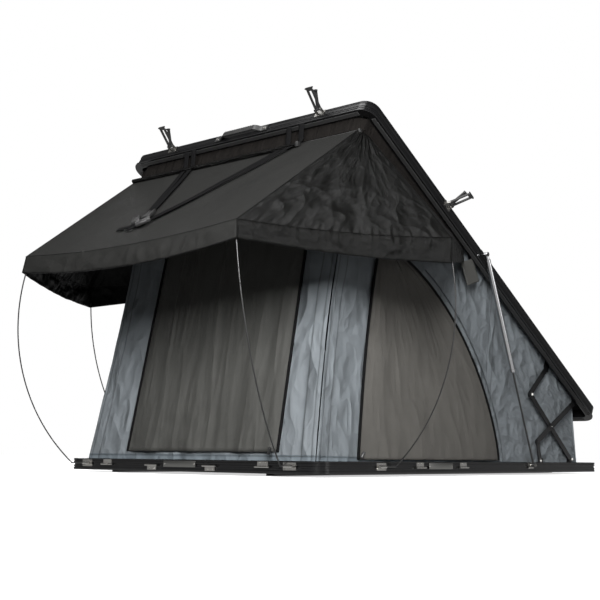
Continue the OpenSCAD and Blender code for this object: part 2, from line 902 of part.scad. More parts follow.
// A flat bar in the side view from pivot a to pivot b, its outer face at x + bar_t
module bar(a, b, x) {
    l = norm(b - a);
    translate([x, a.x, a.y])
        rotate([atan2(b.y - a.y, b.x - a.x), 0, 0]) {
            translate([0, 0, -bar_w / 2])
                cube([bar_t, l, bar_w]);
            for (y = [0, l])
                translate([0, y, 0])
                    rotate([0, 90, 0])
                        cylinder(r = bar_w / 2, h = bar_t);
        }
}

// A pin, or the bore for it, across the link planes at pivot p
module link_pin(p, x, l, r) {
    translate([x, p.x, p.y])
        rotate([0, 90, 0])
            cylinder(r = r, h = l);
}

module long_arm(side) {
    color(frame_black)
        one_side(side) {
            difference() {
                bar(rear_pivot, arm_end, long_arm_x);
                link_pin(rear_pivot, long_arm_x - 1, bar_t + 2, link_pin_r + pin_clearance);
            }
            link_pin(crossing, long_arm_x, 2 * bar_step + pin_head_t - bar_gap, link_pin_r);
            link_pin(crossing, cross_arm_x + bar_t + bar_gap, pin_head_t, pin_head_r);
            link_pin(arm_end, upper_link_x, bar_step + bar_t + pin_head_t, link_pin_r);
            link_pin(arm_end, long_arm_x + bar_t, pin_head_t, pin_head_r);
        }
}

module cross_arm(side) {
    color(frame_black)
        one_side(side)
            difference() {
                bar(lid_pivot, cross_end, cross_arm_x);
                link_pin(crossing, cross_arm_x - 1, bar_t + 2, link_pin_r + pin_clearance);
            }
}

module upper_link(side) {
    color(frame_black)
        one_side(side)
            difference() {
                bar(link_pivot, arm_end, upper_link_x);
                link_pin(arm_end, upper_link_x - 1, bar_t + 2, link_pin_r + pin_clearance);
            }
}

module lower_link(side) {
    color(frame_black)
        one_side(side) {
            difference() {
                bar(front_pivot, cross_end, lower_link_x);
                link_pin(front_pivot, lower_link_x - 1, bar_t + 2, link_pin_r + pin_clearance);
            }
            link_pin(cross_end, lower_link_x + bar_t, pin_head_t, pin_head_r);
        }
}

// Struts, right-hand side: thin rod from the base, bright tube to the lid

// Puts children, given along +Z from the base stud, onto the strut's line
module along_strut(side) {
    one_side(side)
        translate([strut_x, strut_base.x, strut_base.y])
            rotate([strut_turn - 90, 0, 0])
                children();
}

module strut_rod(side) {
    color(plastic_black)
        along_strut(side)
            difference() {
                union() {
                    translate([-eye_t / 2, 0, 0])
                        rotate([0, 90, 0])
                            cylinder(r = eye_r, h = eye_t);
                    cylinder(r = strut_rod_r + 2, h = eye_r + 9);
                    cylinder(r = strut_rod_r, h = strut_rod_l);
                }
                translate([-eye_t, 0, 0])
                    rotate([0, 90, 0])
                        cylinder(r = stud_r + pin_clearance, h = 2 * eye_t);
            }
}

module strut_tube(side) {
    cap = 14;
    color(chrome)
        along_strut(side)
            difference() {
                union() {
                    translate([0, 0, strut_l - strut_tube_l])
                        cylinder(r = strut_tube_r, h = strut_tube_l - eye_r - cap);
                    translate([0, 0, strut_l - strut_tube_l])
                        cylinder(r = strut_tube_r + 1.5, h = 12);
                    translate([0, 0, strut_l - eye_r - cap - 1])
                        cylinder(r = strut_tube_r - 3, h = cap + eye_r);
                    translate([-eye_t / 2, 0, strut_l])
                        rotate([0, 90, 0])
                            cylinder(r = eye_r, h = eye_t);
                }
                translate([0, 0, strut_l - strut_tube_l - 1])
                    cylinder(r = strut_rod_r + pin_clearance, h = strut_tube_l - eye_r - cap - 3);
            }
}

// Awning rods

// A round wire bowed in one arc from a to b, with its belly towards the direction out
module bowed_wire(a, b, out, sag, r) {
    chord = norm(b - a);
    bow_r = (chord * chord / 4 + sag * sag) / (2 * sag);
    half = asin(chord / 2 / bow_r);
    ex = (b - a) / chord;
    side = out - ex * (out * ex);
    ey = side / norm(side);
    ez = cross(ex, ey);
    multmatrix([
        [ex.x, ey.x, ez.x, a.x],
        [ex.y, ey.y, ez.y, a.y],
        [ex.z, ey.z, ez.z, a.z],
        [0, 0, 0, 1]
    ])
        translate([chord / 2, sag - bow_r, 0])
            rotate([0, 0, 90 - half])
                rotate_extrude(angle = 2 * half, $fn = 360)
                    translate([bow_r, 0])
                        circle(r = r, $fn = 48);
}

// A rod in its socket's own frame: an axle along X, a crank to the side, and a bow up to the tip
module awning_rod(crank, tip, lean) {
    foot = [-crank, -rod_socket_out, rod_socket_z];
    color(plastic_black) {
        translate(foot)
            rotate([0, 90, 0])
                cylinder(r = rod_r, h = crank + rod_socket_l / 2 + 4);
        for (p = [foot, tip])
            translate(p)
                rotate([17, 33, 0])
                    sphere(r = rod_knob_r);
        bowed_wire(foot, tip, [lean, -1, 0], rod_sag, rod_r);
    }
}

module awning_rod_front(s) {
    crank = s > 0 ? crank_front_right : crank_front_left;
    tip = [s * (awning_front.x - rod_socket_x), front_tip_out, awning_front.z - tip_drop];
    translate([s * rod_socket_x, -half_l, 0])
        awning_rod(crank, tip, s * 0.5);
}

module awning_rod_side(side) {
    one_side(side)
        translate([half_w, -half_l + rod_socket_in, 0])
            mirror([0, 1, 0])
                rotate([0, 0, 90])
                    awning_rod(
                        crank_side,
                        [-side_tip_along, side_tip_out, awning_side.z - tip_drop],
                        0
                    );
}

// Canvas

// A closed sheet of nu by nv cells: front points from place(u, v), back points shifted by back
module sheet(nu, nv, place, back) {
    w = nu + 1;
    n = w * (nv + 1);
    front = [for (j = [0:nv]) for (i = [0:nu]) place(i / nu, j / nv)];
    rim = concat(
        [for (i = [0:nu - 1]) i],
        [for (j = [0:nv - 1]) j * w + nu],
        [for (i = [nu:-1:1]) nv * w + i],
        [for (j = [nv:-1:1]) j * w]
    );
    polyhedron(
        points = concat(front, [for (p = front) p + back]),
        faces = concat(
            [
                for (j = [0:nv - 1])
                    for (i = [0:nu - 1])
                        let (a = j * w + i, b = a + 1, c = a + w, d = c + 1)
                            for (f = [[a, c, b], [b, c, d]])
                                for (g = [f, [f[2] + n, f[1] + n, f[0] + n]])
                                    g
            ],
            [
                for (k = [0:len(rim) - 1])
                    let (a = rim[k], b = rim[(k + 1) % len(rim)])
                        for (f = [[a, b, a + n], [b, b + n, a + n]])
                            f
            ]
        )
    );
}

function mix(a, b, t) = a + (b - a) * t;

// Height of upright folds across a wall, fading to nothing at its edges
function folds(u, v) = fold_d * sin(180 * v) * sin(180 * u) * sin(360 * fold_n * u + 70 * v)
    + wall_bulge * sin(180 * v) * sin(180 * u) * 0.5;

// Front wall, u from left to right and v upwards
function front_wall(u, v) = let (
    x = mix(-wall_x, wall_x, u),
    yz = mix([wall_front_y, wall_foot_z], wall_front_head, v)
) [x, yz.x - folds(u, v), yz.y];

// Right wall, u from front to rear and v upwards, flat beside the links
function side_wall(u, v) = let (
    yz = mix(mix(side_foot_front, side_foot_rear, u), mix(side_head_front, side_head_rear, u), v)
) [wall_x, yz.x, yz.y];

function rear_wall(u, v) = let (
    x = mix(wall_x, -wall_x, u),
    yz = mix([wall_rear_y, wall_foot_z], wall_rear_head, v)
) [x, yz.x, yz.y];

// Share at column i of n, where the middle m columns reach from a to b
function grid_share(i, n, m, a, b) = let (k = (n - m) / 2)
    i < k ? a * i / k : i > n - k ? mix(b, 1, (i - n + k) / k) : mix(a, b, (i - k) / m);

// Corner of a cell of the front wall, in columns that follow the door's edges
function front_cell(i, j) = let (
    v = grid_share(j, wall_rows, door_rows, door_foot_v, door_head_v),
    half = mix(door_half_w, door_head_half_w, v),
    left = 0.5 + (door_middle - half) / (2 * wall_x),
    right = 0.5 + (door_middle + half) / (2 * wall_x)
) front_wall(grid_share(i, wall_cols, door_cols, left, right), v);

module wall_front() {
    color(canvas_blue)
        sheet(
            wall_cols,
            wall_rows,
            function (u, v) front_cell(u * wall_cols, v * wall_rows),
            [0, canvas_t, 0]
        );
}

module wall_side(side) {
    color(canvas_blue)
        one_side(side)
            sheet(12, 4, function (u, v) side_wall(u, v), [-canvas_t, 0, 0]);
}

module wall_rear() {
    color(canvas_blue)
        sheet(8, 4, function (u, v) rear_wall(u, v), [0, -canvas_t, 0]);
}

// Front door panel lying on the front wall's middle cells
module door_front() {
    skin = [0, canvas_t + clearance, 0];
    col = (wall_cols - door_cols) / 2;
    row = (wall_rows - door_rows) / 2;
    color(canvas_dark)
        sheet(
            door_cols,
            door_rows,
            function (u, v) front_cell(col + u * door_cols, row + v * door_rows) - skin,
            [0, canvas_t, 0]
        );
}

// D-shaped panel on each side wall, with upright folds: its front edge leans back,
// and its rear edge follows the lid down
function side_door(u, v) = let (
    front = side_door_lean * v,
    rear = side_door_lean + (side_door_w - side_door_lean) * pow(1 - pow(v * 0.97, 1.5), 1 / 1.5),
    swell = sin(180 * u) * sin(180 * v)
) [
    wall_x + canvas_t + clearance + fold_d * swell * (1 + sin(360 * 4 * u + 60 * v)),
    -half_l + side_door_in + mix(front, rear, u),
    wall_foot_z + 22 + side_door_h * v
];

module side_doors() {
    color(canvas_dark)
        both_sides()
            sheet(16, 10, function (u, v) side_door(u, v), [-canvas_t, 0, 0]);
}

// Awning

// Top panel and its front hem, u from right to left, v downwards, with the fold at fold_share
function awning_panel(u, v) = let (
    s = 1 - 2 * u,
    k = min(1, v / fold_share),
    drop = max(0, (v - fold_share) / (1 - fold_share)),
    half = mix(awning_head.x, awning_front.x, k) + 10 * drop,
    sag = awning_sag * (1 - s * s) * (0.6 * sin(180 * k) + k + 0.5 * drop),
    gather = 3 * drop * sin(360 * 6 * u)
) [
    s * half,
    mix(awning_head.y, awning_front.y, k) - 16 * drop - gather,
    mix(awning_head.z, awning_front.z, k) - hem_h * drop - sag
];

// Right wing: w is 0 at the seam with the top panel, side_share at the side corner, 1 at the lid
function wing_edge(w) = w < side_share
    ? mix(awning_front, awning_side, w / side_share)
        - [0, 0, awning_sag * 0.6 * sin(180 * w / side_share)]
    : mix(awning_side, awning_end, (w - side_share) / (1 - side_share));
function wing_neck(w) = w < side_share
    ? mix(awning_head, awning_neck, w / side_share)
    : mix(awning_neck, awning_end + [0, 0, 14], (w - side_share) / (1 - side_share));
function wing_panel(w, v) = let (
    k = min(1, v / wing_fold_share),
    drop = max(0, (v - wing_fold_share) / (1 - wing_fold_share)),
    ahead = max(0, 1 - w / side_share),
    behind = max(0, (w - side_share) / (1 - side_share)),
    swell = sin(180 * (1 - ahead)),
    hem = hem_h * (1 + 0.4 * swell) * mix(1, 0.5, behind),
    ripple = 4 * drop * sin(360 * 6 * w) + 7 * sin(180 * k) * swell * sin(900 * w)
) mix(wing_neck(w), wing_edge(w), k) + [
    awning_t + 2 * clearance + 10 * drop * ahead + ripple,
    -16 * drop * ahead - ripple * 0.4,
    -hem * drop
];

module awning_top() {
    color(awning_grey)
        sheet(panel_cols, panel_rows, function (u, v) awning_panel(u, v), [0, awning_t, -awning_t]);
}

module awning_wing(side) {
    color(awning_grey)
        one_side(side)
            sheet(
                wing_cols,
                wing_rows,
                function (u, v) wing_panel(1 - u, v),
                [-awning_t, 0, -awning_t]
            );
}

// Pole along the awning's upper edge
module awning_batten() {
    color(plastic_black)
        translate([-awning_head_half_w, batten.x, batten.y])
            rotate([0, 90, 0])
                cylinder(r = batten_r, h = 2 * awning_head_half_w);
}

// Gathered strip from the lid's front profile down to the batten
module awning_header() {
    top = lid_yz([-tent_l + rail_w + clearance, header_up]);
    half = min(awning_head_half_w, half_w - corner_r) - wall_step;
    color(canvas_dark)
        sheet(
            30,
            2,
            function (u, v)
                let (yz = mix([batten.x, batten.y + batten_r + clearance], top, v))
                    [
                        mix(-half, half, u),
                        yz.x - 4 * sin(180 * v) * sin(360 * 7.5 * u),
                        yz.y
                    ],
            [0, awning_t, 0]
        );
}

// Straps laid over the awning from its upper edge to one buckle, on the panel's own rows
module strap(u0, shift) {
    thick = [0, 0.9, -1.2];
    lift = -thick * (1 + clearance);
    sheet(1, strap_rows, function (u, v)
        awning_panel(mix(u0, strap_meet + shift, v), v * strap_rows / panel_rows)
            + [(0.5 - u) * strap_w, 0, 0] + lift,
        thick);
}

module closing_straps() {
    gap = (strap_w + 6) / (4 * awning_head_half_w);
    color(webbing_black) {
        strap(0.74, gap);
        strap(0.26, -gap);
    }
}

base_rail("left");  // base_rail_left
base_rail("right");  // base_rail_right
base_rail("front");  // base_rail_front
base_rail("rear");  // base_rail_rear
base_corners();
floor_panel();
mounting_rails();
mattress();
latch_keepers();
rod_sockets();
strut_base_brackets();
link_base_brackets();
lid_rail("left");  // lid_rail_left
lid_rail("right");  // lid_rail_right
lid_rail("front");  // lid_rail_front
lid_rail("rear");  // lid_rail_rear
lid_corners();
lid_panel();
lid_seal();
handle_strap();
handle_ends();
latch_plates();
strut_lid_brackets();
link_lid_brackets();
latch_lever("front_left");  // latch_lever_front_left
latch_lever("front_right");  // latch_lever_front_right
latch_lever("left");  // latch_lever_left
latch_lever("right");  // latch_lever_right
latch_hook("front_left");  // latch_hook_front_left
latch_hook("front_right");  // latch_hook_front_right
latch_hook("left");  // latch_hook_left
latch_hook("right");  // latch_hook_right
long_arm("left");  // long_arm_left
long_arm("right");  // long_arm_right
cross_arm("left");  // cross_arm_left
cross_arm("right");  // cross_arm_right
upper_link("left");  // upper_link_left
upper_link("right");  // upper_link_right
lower_link("left");  // lower_link_left
lower_link("right");  // lower_link_right
strut_rod("left");  // strut_rod_left
strut_rod("right");  // strut_rod_right
strut_tube("left");  // strut_tube_left
strut_tube("right");  // strut_tube_right
awning_rod_front(-1);  // awning_rod_front_left
awning_rod_front(1);  // awning_rod_front_right
awning_rod_side("left");  // awning_rod_left
awning_rod_side("right");  // awning_rod_right
awning_batten();
awning_header();
awning_top();
awning_wing("left");  // awning_wing_left
awning_wing("right");  // awning_wing_right
closing_straps();
wall_front();
wall_rear();
wall_side("left");  // wall_left
wall_side("right");  // wall_right
door_front();
side_doors();
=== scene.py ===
"""Looks of the roof top tent: cloth, trims, finishes and stage over the CAD frame."""

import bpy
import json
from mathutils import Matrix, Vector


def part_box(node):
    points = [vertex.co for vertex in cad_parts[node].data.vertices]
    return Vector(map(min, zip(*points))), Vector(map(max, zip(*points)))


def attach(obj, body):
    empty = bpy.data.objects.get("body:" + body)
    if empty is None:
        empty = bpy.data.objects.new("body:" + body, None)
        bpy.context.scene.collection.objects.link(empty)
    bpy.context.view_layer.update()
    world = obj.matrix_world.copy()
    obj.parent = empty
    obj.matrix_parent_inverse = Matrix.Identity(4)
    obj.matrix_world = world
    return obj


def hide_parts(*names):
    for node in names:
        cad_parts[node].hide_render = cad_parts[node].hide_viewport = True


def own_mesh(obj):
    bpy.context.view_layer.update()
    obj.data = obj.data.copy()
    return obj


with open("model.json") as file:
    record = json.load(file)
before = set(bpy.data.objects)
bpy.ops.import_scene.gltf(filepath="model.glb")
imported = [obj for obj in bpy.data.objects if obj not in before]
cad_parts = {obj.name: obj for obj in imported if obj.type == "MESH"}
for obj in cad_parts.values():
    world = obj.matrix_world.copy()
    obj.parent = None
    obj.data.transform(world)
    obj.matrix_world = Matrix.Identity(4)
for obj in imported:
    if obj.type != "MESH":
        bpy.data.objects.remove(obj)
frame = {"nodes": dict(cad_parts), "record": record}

import functools
import json
import math

import bpy
from mathutils import Matrix, Vector, noise

bl_info = {
    "name": "Roof top tent",
    "version": (1, 0, 0),
    "blender": (4, 5, 0),
    "location": "View3D > Sidebar > Tent",
    "description": "Builds the cloth, trims, finishes and stage of a wedge-shaped roof top tent",
    "category": "Object",
}


def length(name, text, value):
    """A size or place in metres."""
    return bpy.props.FloatProperty(
        name=name, description=text, default=value, unit="LENGTH", subtype="DISTANCE", precision=4)


def angle(name, text, degrees):
    """An angle, given in degrees and kept in radians."""
    return bpy.props.FloatProperty(
        name=name, description=text, default=math.radians(degrees), unit="ROTATION", subtype="ANGLE")


def amount(name, text, value):
    """A share, a power or another plain number."""
    return bpy.props.FloatProperty(name=name, description=text, default=value)


def colour(name, text, value):
    """A linear red, green and blue."""
    return bpy.props.FloatVectorProperty(
        name=name, description=text, default=value, size=3, min=0.0, max=1.0, subtype="COLOR")


class TentShell(bpy.types.PropertyGroup):
    """Places of the hard shells that the cloth hangs from."""
    lid_angle: angle("Lid angle", "Angle of the open lid", 30.0)
    lid_y: length("Lid rear edge", "Place of the lid's rear lower edge along the tent", 1.062)
    lid_z: length("Lid rise", "Height of the lid's rear lower edge", 0.249)
    lid_l: length("Lid length", "Length of the lid", 2.150)
    rail_w: length("Rail width", "Width of the frame rails", 0.034)
    half_w: length("Half width", "Half of the tent's width", 0.645)
    half_l: length("Half length", "Half of the tent's length", 1.075)


class TentCloth(bpy.types.PropertyGroup):
    """Sizes of the walls and doors."""
    thick: length("Canvas thickness", "Thickness of the canvas", 0.0012)
    foot_z: length("Foot", "Height of the walls' lower edge", 0.0366)
    head_up: length("Head", "Height of the walls' upper edge above the lid's lower edge", 0.0405)
    front_y: length("Front foot", "Place of the front wall's foot", -1.021)
    front_head: length("Front head", "Front wall's head behind the lid's front", 0.046)
    rear_y: length("Rear foot", "Place of the rear wall's foot", 0.960)
    rear_head: length("Rear head", "Rear wall's head ahead of the lid's rear", 0.190)
    fold: length("Fold depth", "Depth of the walls' folds", 0.014)
    drawn: length("Drawn in", "How far the side walls are drawn in half-way up", 0.036)
    hem: length("Foot band", "Height of the band along the walls' foot", 0.036)
    door_half: length("Door half width", "Half width of the front door at its foot", 0.385)
    door_head_half: length("Door head half width", "Half width of the front door at its head", 0.365)
    door_middle: length("Door middle", "Front door's middle beside the tent's middle", 0.030)
    door_fold: length("Door fold", "Depth of the front door's folds", 0.012)
    side_in: length("Side door start", "Side doors' start behind the base's front", 0.290)
    side_w: length("Side door width", "Width of the side doors at their foot", 0.990)
    side_h: length("Side door height", "Height of the side doors", 0.780)
    side_lean: length("Side door lean", "How far the side doors' front edge leans back", 0.163)
    piping: length("Piping", "Radius of the zips round the doors", 0.0055)
    seam: length("Seam", "Radius of the seam beside the side doors", 0.0022)


class TentAwning(bpy.types.PropertyGroup):
    """Sizes of the awning and its straps."""
    thick: length("Awning thickness", "Thickness of the awning's cloth", 0.0012)
    head_half: length("Head half width", "Half width of the awning at the lid", 0.592)
    head_drop: length("Head drop", "Batten's drop below the lid's front edge", 0.078)
    front_half: length("Front half width", "Half width of the awning at its front", 0.550)
    reach: length("Reach", "Awning's reach ahead of the base", 0.313)
    front_z: length("Front height", "Height of the awning's front fold", 0.816)
    side_out: length("Side reach", "Awning's reach beside the base", 0.303)
    side_in: length("Side corner", "Side corners' distance behind the base's front", 0.335)
    side_z: length("Side height", "Height of the awning's side corners", 0.812)
    side_l: length("Side length", "Awning's length along the lid", 0.830)
    hem: length("Valance", "Height of the awning's valance", 0.062)
    sag: length("Sag", "Sag of the awning between its rods", 0.024)
    sleeve: length("Sleeve", "Radius of the sleeve along the awning's head", 0.009)
    sleeve_end: amount("Sleeve end", "Sleeve's end across the awning, from its right end", 0.225)
    edge: length("Edge", "Radius of the rolled edges and seams", 0.0022)
    strap_w: length("Strap width", "Width of the webbing straps", 0.025)
    buckle_u: amount("Buckle across", "Buckles' place across the awning, from its right end", 0.56)
    buckle_v: amount("Buckle down", "Buckles' place down the awning", 0.62)
    fold_turn: angle("Fold", "Turn of the awning's top from open to folded", 144.3)
    wing_turn: angle("Wing fold", "Turn of the awning's wings from open to folded", 134.5)


class TentColours(bpy.types.PropertyGroup):
    """Colours of the finishes."""
    canvas: colour("Canvas", "Blue-grey of the walls", (0.138, 0.153, 0.164))
    band: colour("Band", "Blue of the band along the walls' foot", (0.105, 0.124, 0.138))
    door: colour("Side door", "Warm grey of the side doors", (0.088, 0.084, 0.077))
    front_door: colour("Front door", "Dark warm grey of the front door", (0.052, 0.052, 0.048))
    awning: colour("Awning", "Charcoal of the awning", (0.012, 0.012, 0.0112))
    header: colour("Header", "Brown-grey of the header strips", (0.0062, 0.0053, 0.0047))
    webbing: colour("Webbing", "Black of the straps", (0.004, 0.004, 0.0042))
    frame: colour("Frame", "Black of the frame rails", (0.004, 0.004, 0.0043))
    plastic: colour("Plastic", "Black of the plastic pieces", (0.012, 0.012, 0.012))
    steel: colour("Steel", "Stainless steel", (0.45, 0.44, 0.42))
    plate: colour("Plates", "Dull metal of the bare plates", (0.20, 0.20, 0.19))
    chrome: colour("Chrome", "Bright strut tubes", (0.50, 0.50, 0.51))
    rubber: colour("Rubber", "Black rubber", (0.015, 0.015, 0.015))
    board: colour("Board", "Lid's board", (0.020, 0.020, 0.021))
    floor_board: colour("Floor board", "Grey of the floor board", (0.24, 0.25, 0.26))
    foam: colour("Mattress", "Mattress cover", (0.17, 0.18, 0.19))


class TentTrim(bpy.types.PropertyGroup):
    """Sizes of the small hard pieces."""
    cap_r: length("Pin cap", "Radius of the links' pin caps", 0.0065)
    rivet_r: length("Rivet", "Radius of the rivet heads", 0.0032)
    plate_l: length("Nameplate length", "Length of the bare nameplates", 0.165)
    plate_h: length("Nameplate height", "Height of the bare nameplates", 0.023)
    buckle_w: length("Buckle width", "Width of the buckles", 0.034)
    buckle_l: length("Buckle length", "Length of the buckles", 0.046)


class TentStage(bpy.types.PropertyGroup):
    """Camera and light."""
    camera_x: length("Camera X", "Camera's place across the tent", 2.8436)
    camera_y: length("Camera Y", "Camera's place along the tent", -3.8429)
    camera_z: length("Camera Z", "Camera's height", 0.0687)
    yaw: angle("Yaw", "Camera's turn to the left", 39.569)
    pitch: angle("Pitch", "Camera's tilt upwards", 8.277)
    roll: angle("Roll", "Camera's roll", 0.576)
    lens: amount("Lens", "Focal length in millimetres on a 36 mm sensor", 64.34)
    world: amount("World", "Strength of the even light on the cloth", 0.03)
    shine: amount("Shine", "Strength of the light that hard pieces mirror", 0.12)
    key: amount("Key", "Power of the key light in watts", 380.0)
    fill: amount("Fill", "Power of the fill light in watts", 38.0)
    top: amount("Top", "Power of the light overhead in watts", 110.0)
    back: amount("Back", "Power of the light behind in watts", 260.0)
    floor_shine: amount("Floor shine", "Brightness of the floor that hard pieces mirror", 0.6)
    ground: amount("Ground", "Share of the light that the floor throws back up", 0.16)


def props():
    """Sizes of the shells, the walls and the awning."""
    scene = bpy.context.scene
    return scene.tent_shell, scene.tent_cloth, scene.tent_awning


# Modelling

def deselect():
    if bpy.context.object is not None and bpy.context.object.mode != "OBJECT":
        bpy.ops.object.mode_set(mode="OBJECT")
    bpy.ops.object.select_all(action="DESELECT")


def newest(name):
    """The object that an operator has just added, under its own name."""
    ob = bpy.context.active_object
    ob.name = name
    ob.data.name = name
    return ob


def active(ob):
    deselect()
    ob.select_set(True)
    bpy.context.view_layer.objects.active = ob


def apply_modifier(ob, kind, **settings):
    active(ob)
    mod = ob.modifiers.new(kind.title(), kind)
    for key, value in settings.items():
        setattr(mod, key, value)
    bpy.ops.object.modifier_apply(modifier=mod.name)


def paint(ob, material):
    ob.data.materials.clear()
    ob.data.materials.append(material)


def round_off(ob, width, segments=2):
    apply_modifier(ob, "BEVEL", width=width, segments=segments, limit_method="ANGLE")
    active(ob)
    bpy.ops.object.shade_smooth_by_angle(angle=math.radians(40))


def block(name, size, bevel, place=(0, 0, 0)):
    """A box of that size round place, with rounded edges."""
    deselect()
    bpy.ops.mesh.primitive_cube_add(size=1.0, location=place, scale=size)
    ob = newest(name)
    bpy.ops.object.transform_apply(location=True, rotation=True, scale=True)
    round_off(ob, bevel)
    return ob


def placed(ob, matrix):
    """Moves a piece's own mesh, so that the object stays at the origin."""
    ob.data.transform(matrix)
    ob.data.update()
    return ob


def copied(proto, places):
    """Copies of one modelled piece, one for each name and matrix; the first one is used up."""
    made = []
    for name, matrix in places:
        ob = proto.copy()
        ob.data = proto.data.copy()
        ob.name = name
        ob.data.name = name
        bpy.context.scene.collection.objects.link(ob)
        made.append(placed(ob, matrix))
    active(proto)
    bpy.ops.object.delete()
    return made


def repeated(proto, name, matrices):
    """Copies of one modelled piece at each matrix, joined as one piece; the first one is used up."""
    copies = copied(proto, [(name, matrix) for matrix in matrices])
    deselect()
    for ob in copies:
        ob.select_set(True)
    bpy.context.view_layer.objects.active = copies[0]
    bpy.ops.object.join()
    return newest(name)


def facing(place, out, up=(0, 0, 1)):
    """A frame at place whose Z looks along out and whose Y is near up."""
    z = Vector(out).normalized()
    x = Vector(up).cross(z).normalized()
    y = z.cross(x)
    return Matrix.Translation(place) @ Matrix((x, y, z)).transposed().to_4x4()


def tube(name, points, radius, material):
    """A round piping or line through points."""
    deselect()
    bpy.ops.curve.primitive_nurbs_path_add()
    curve = bpy.context.active_object.data
    curve.dimensions = "3D"
    curve.splines.clear()
    spline = curve.splines.new("POLY")
    spline.points.add(len(points) - 1)
    for point, co in zip(spline.points, points):
        point.co = (*co, 1.0)
    curve.bevel_depth = radius
    curve.bevel_resolution = 2
    curve.use_fill_caps = True
    bpy.ops.object.convert(target="MESH")
    ob = newest(name)
    bpy.ops.object.shade_smooth()
    paint(ob, material)
    return ob


def run_length(path, steps=48):
    """Length of path(t) from 0 to 1."""
    points = [path(i / steps) for i in range(steps + 1)]
    return sum((b - a).length for a, b in zip(points, points[1:]))


def cloth_sheet(name, cols, rows, place, thick, material):
    """A sheet laid out by place(u, v), with a UV map in metres. Its flat size is kept on it."""
    deselect()
    bpy.ops.mesh.primitive_grid_add(x_subdivisions=cols, y_subdivisions=rows, size=2.0)
    ob = newest(name)
    mesh = ob.data
    shares = (0.0, 0.25, 0.5, 0.75, 1.0)
    wide = max(run_length(lambda t: place(t, v)) for v in shares)
    high = max(run_length(lambda t: place(u, t)) for u in shares)
    for loop in mesh.uv_layers.active.data:
        loop.uv = (loop.uv.x * wide, loop.uv.y * high)
    for vert in mesh.vertices:
        vert.co = place((vert.co.x + 1) / 2, (vert.co.y + 1) / 2)
    mesh.update()
    ob["flat"] = (wide, high)
    ob["area"] = min(wide * high, sum(face.area for face in mesh.polygons))
    apply_modifier(ob, "SOLIDIFY", thickness=thick, offset=0.0)
    bpy.ops.object.shade_smooth()
    paint(ob, material)
    return ob


def hang(ob, body, nodes=()):
    """Seats a sheet on a body and hides the frame's pieces that it stands in for."""
    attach(ob, body)
    if nodes:
        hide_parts(*nodes)
    tuple(ob["flat"])


def mix(a, b, t):
    """From a at 0 to b at 1."""
    return a + (b - a) * t


def smooth(a, b, x):
    """A soft step from 0 at a to 1 at b."""
    t = min(1.0, max(0.0, (x - a) / (b - a)))
    return t * t * (3 - 2 * t)


def bump(t):
    """A round rise and fall: 0 at 0 and 1, and 1 half-way."""
    return math.sin(math.pi * min(1.0, max(0.0, t)))


def past(start, t):
    """How far t is on its way from start to 1; nothing before start."""
    return max(0.0, (t - start) / (1 - start))


def on_side(side, at):
    """A point or direction of the right-hand side, put on the side that is asked for."""
    return Vector((side * at.x, at.y, at.z))


def rumple(x, y, seed, scale):
    """Even noise from -1 to 1."""
    return noise.noise(Vector((x * scale + seed * 7.31, y * scale - seed * 3.17, seed * 1.93)))


def creases(x, y, seed, scale):
    """Sharp-ridged noise, 1 along its ridges, like creases in stiff canvas."""
    return 1.0 - abs(rumple(x, y, seed, scale)) * 2.0


@functools.cache
def wall_x():
    """Half of the distance over the side walls."""
    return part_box("wall_right")[1].x


def crumple(x, z, seed):
    """Slanting and upright creases of hung canvas, mostly between 0 and 1."""
    bend = 0.05 * rumple(x, z, seed + 1.0, 2.0)
    slant = creases(x + bend + 0.30 * z, z * 0.40, seed, 6.0)
    cross = creases(x - bend - 0.45 * z, z * 0.55, seed + 2.0, 9.0)
    fine = creases(x + bend, z * 0.45, seed + 4.0, 17.0)
    return 0.15 + 0.40 * slant + 0.32 * cross + 0.20 * fine + 0.30 * rumple(x, z * 0.5, seed + 3.0, 5.0)


def lid_turn():
    """Cosine and sine of the open lid's angle."""
    lid_angle = bpy.context.scene.tent_shell.lid_angle
    return math.cos(lid_angle), math.sin(lid_angle)


def on_lid(x, y, z):
    """A point of the open lid: y from its rear edge, z from its lower edge."""
    shell = bpy.context.scene.tent_shell
    c, s = lid_turn()
    return Vector((x, shell.lid_y + y * c + z * s, shell.lid_z - y * s + z * c))


# Materials

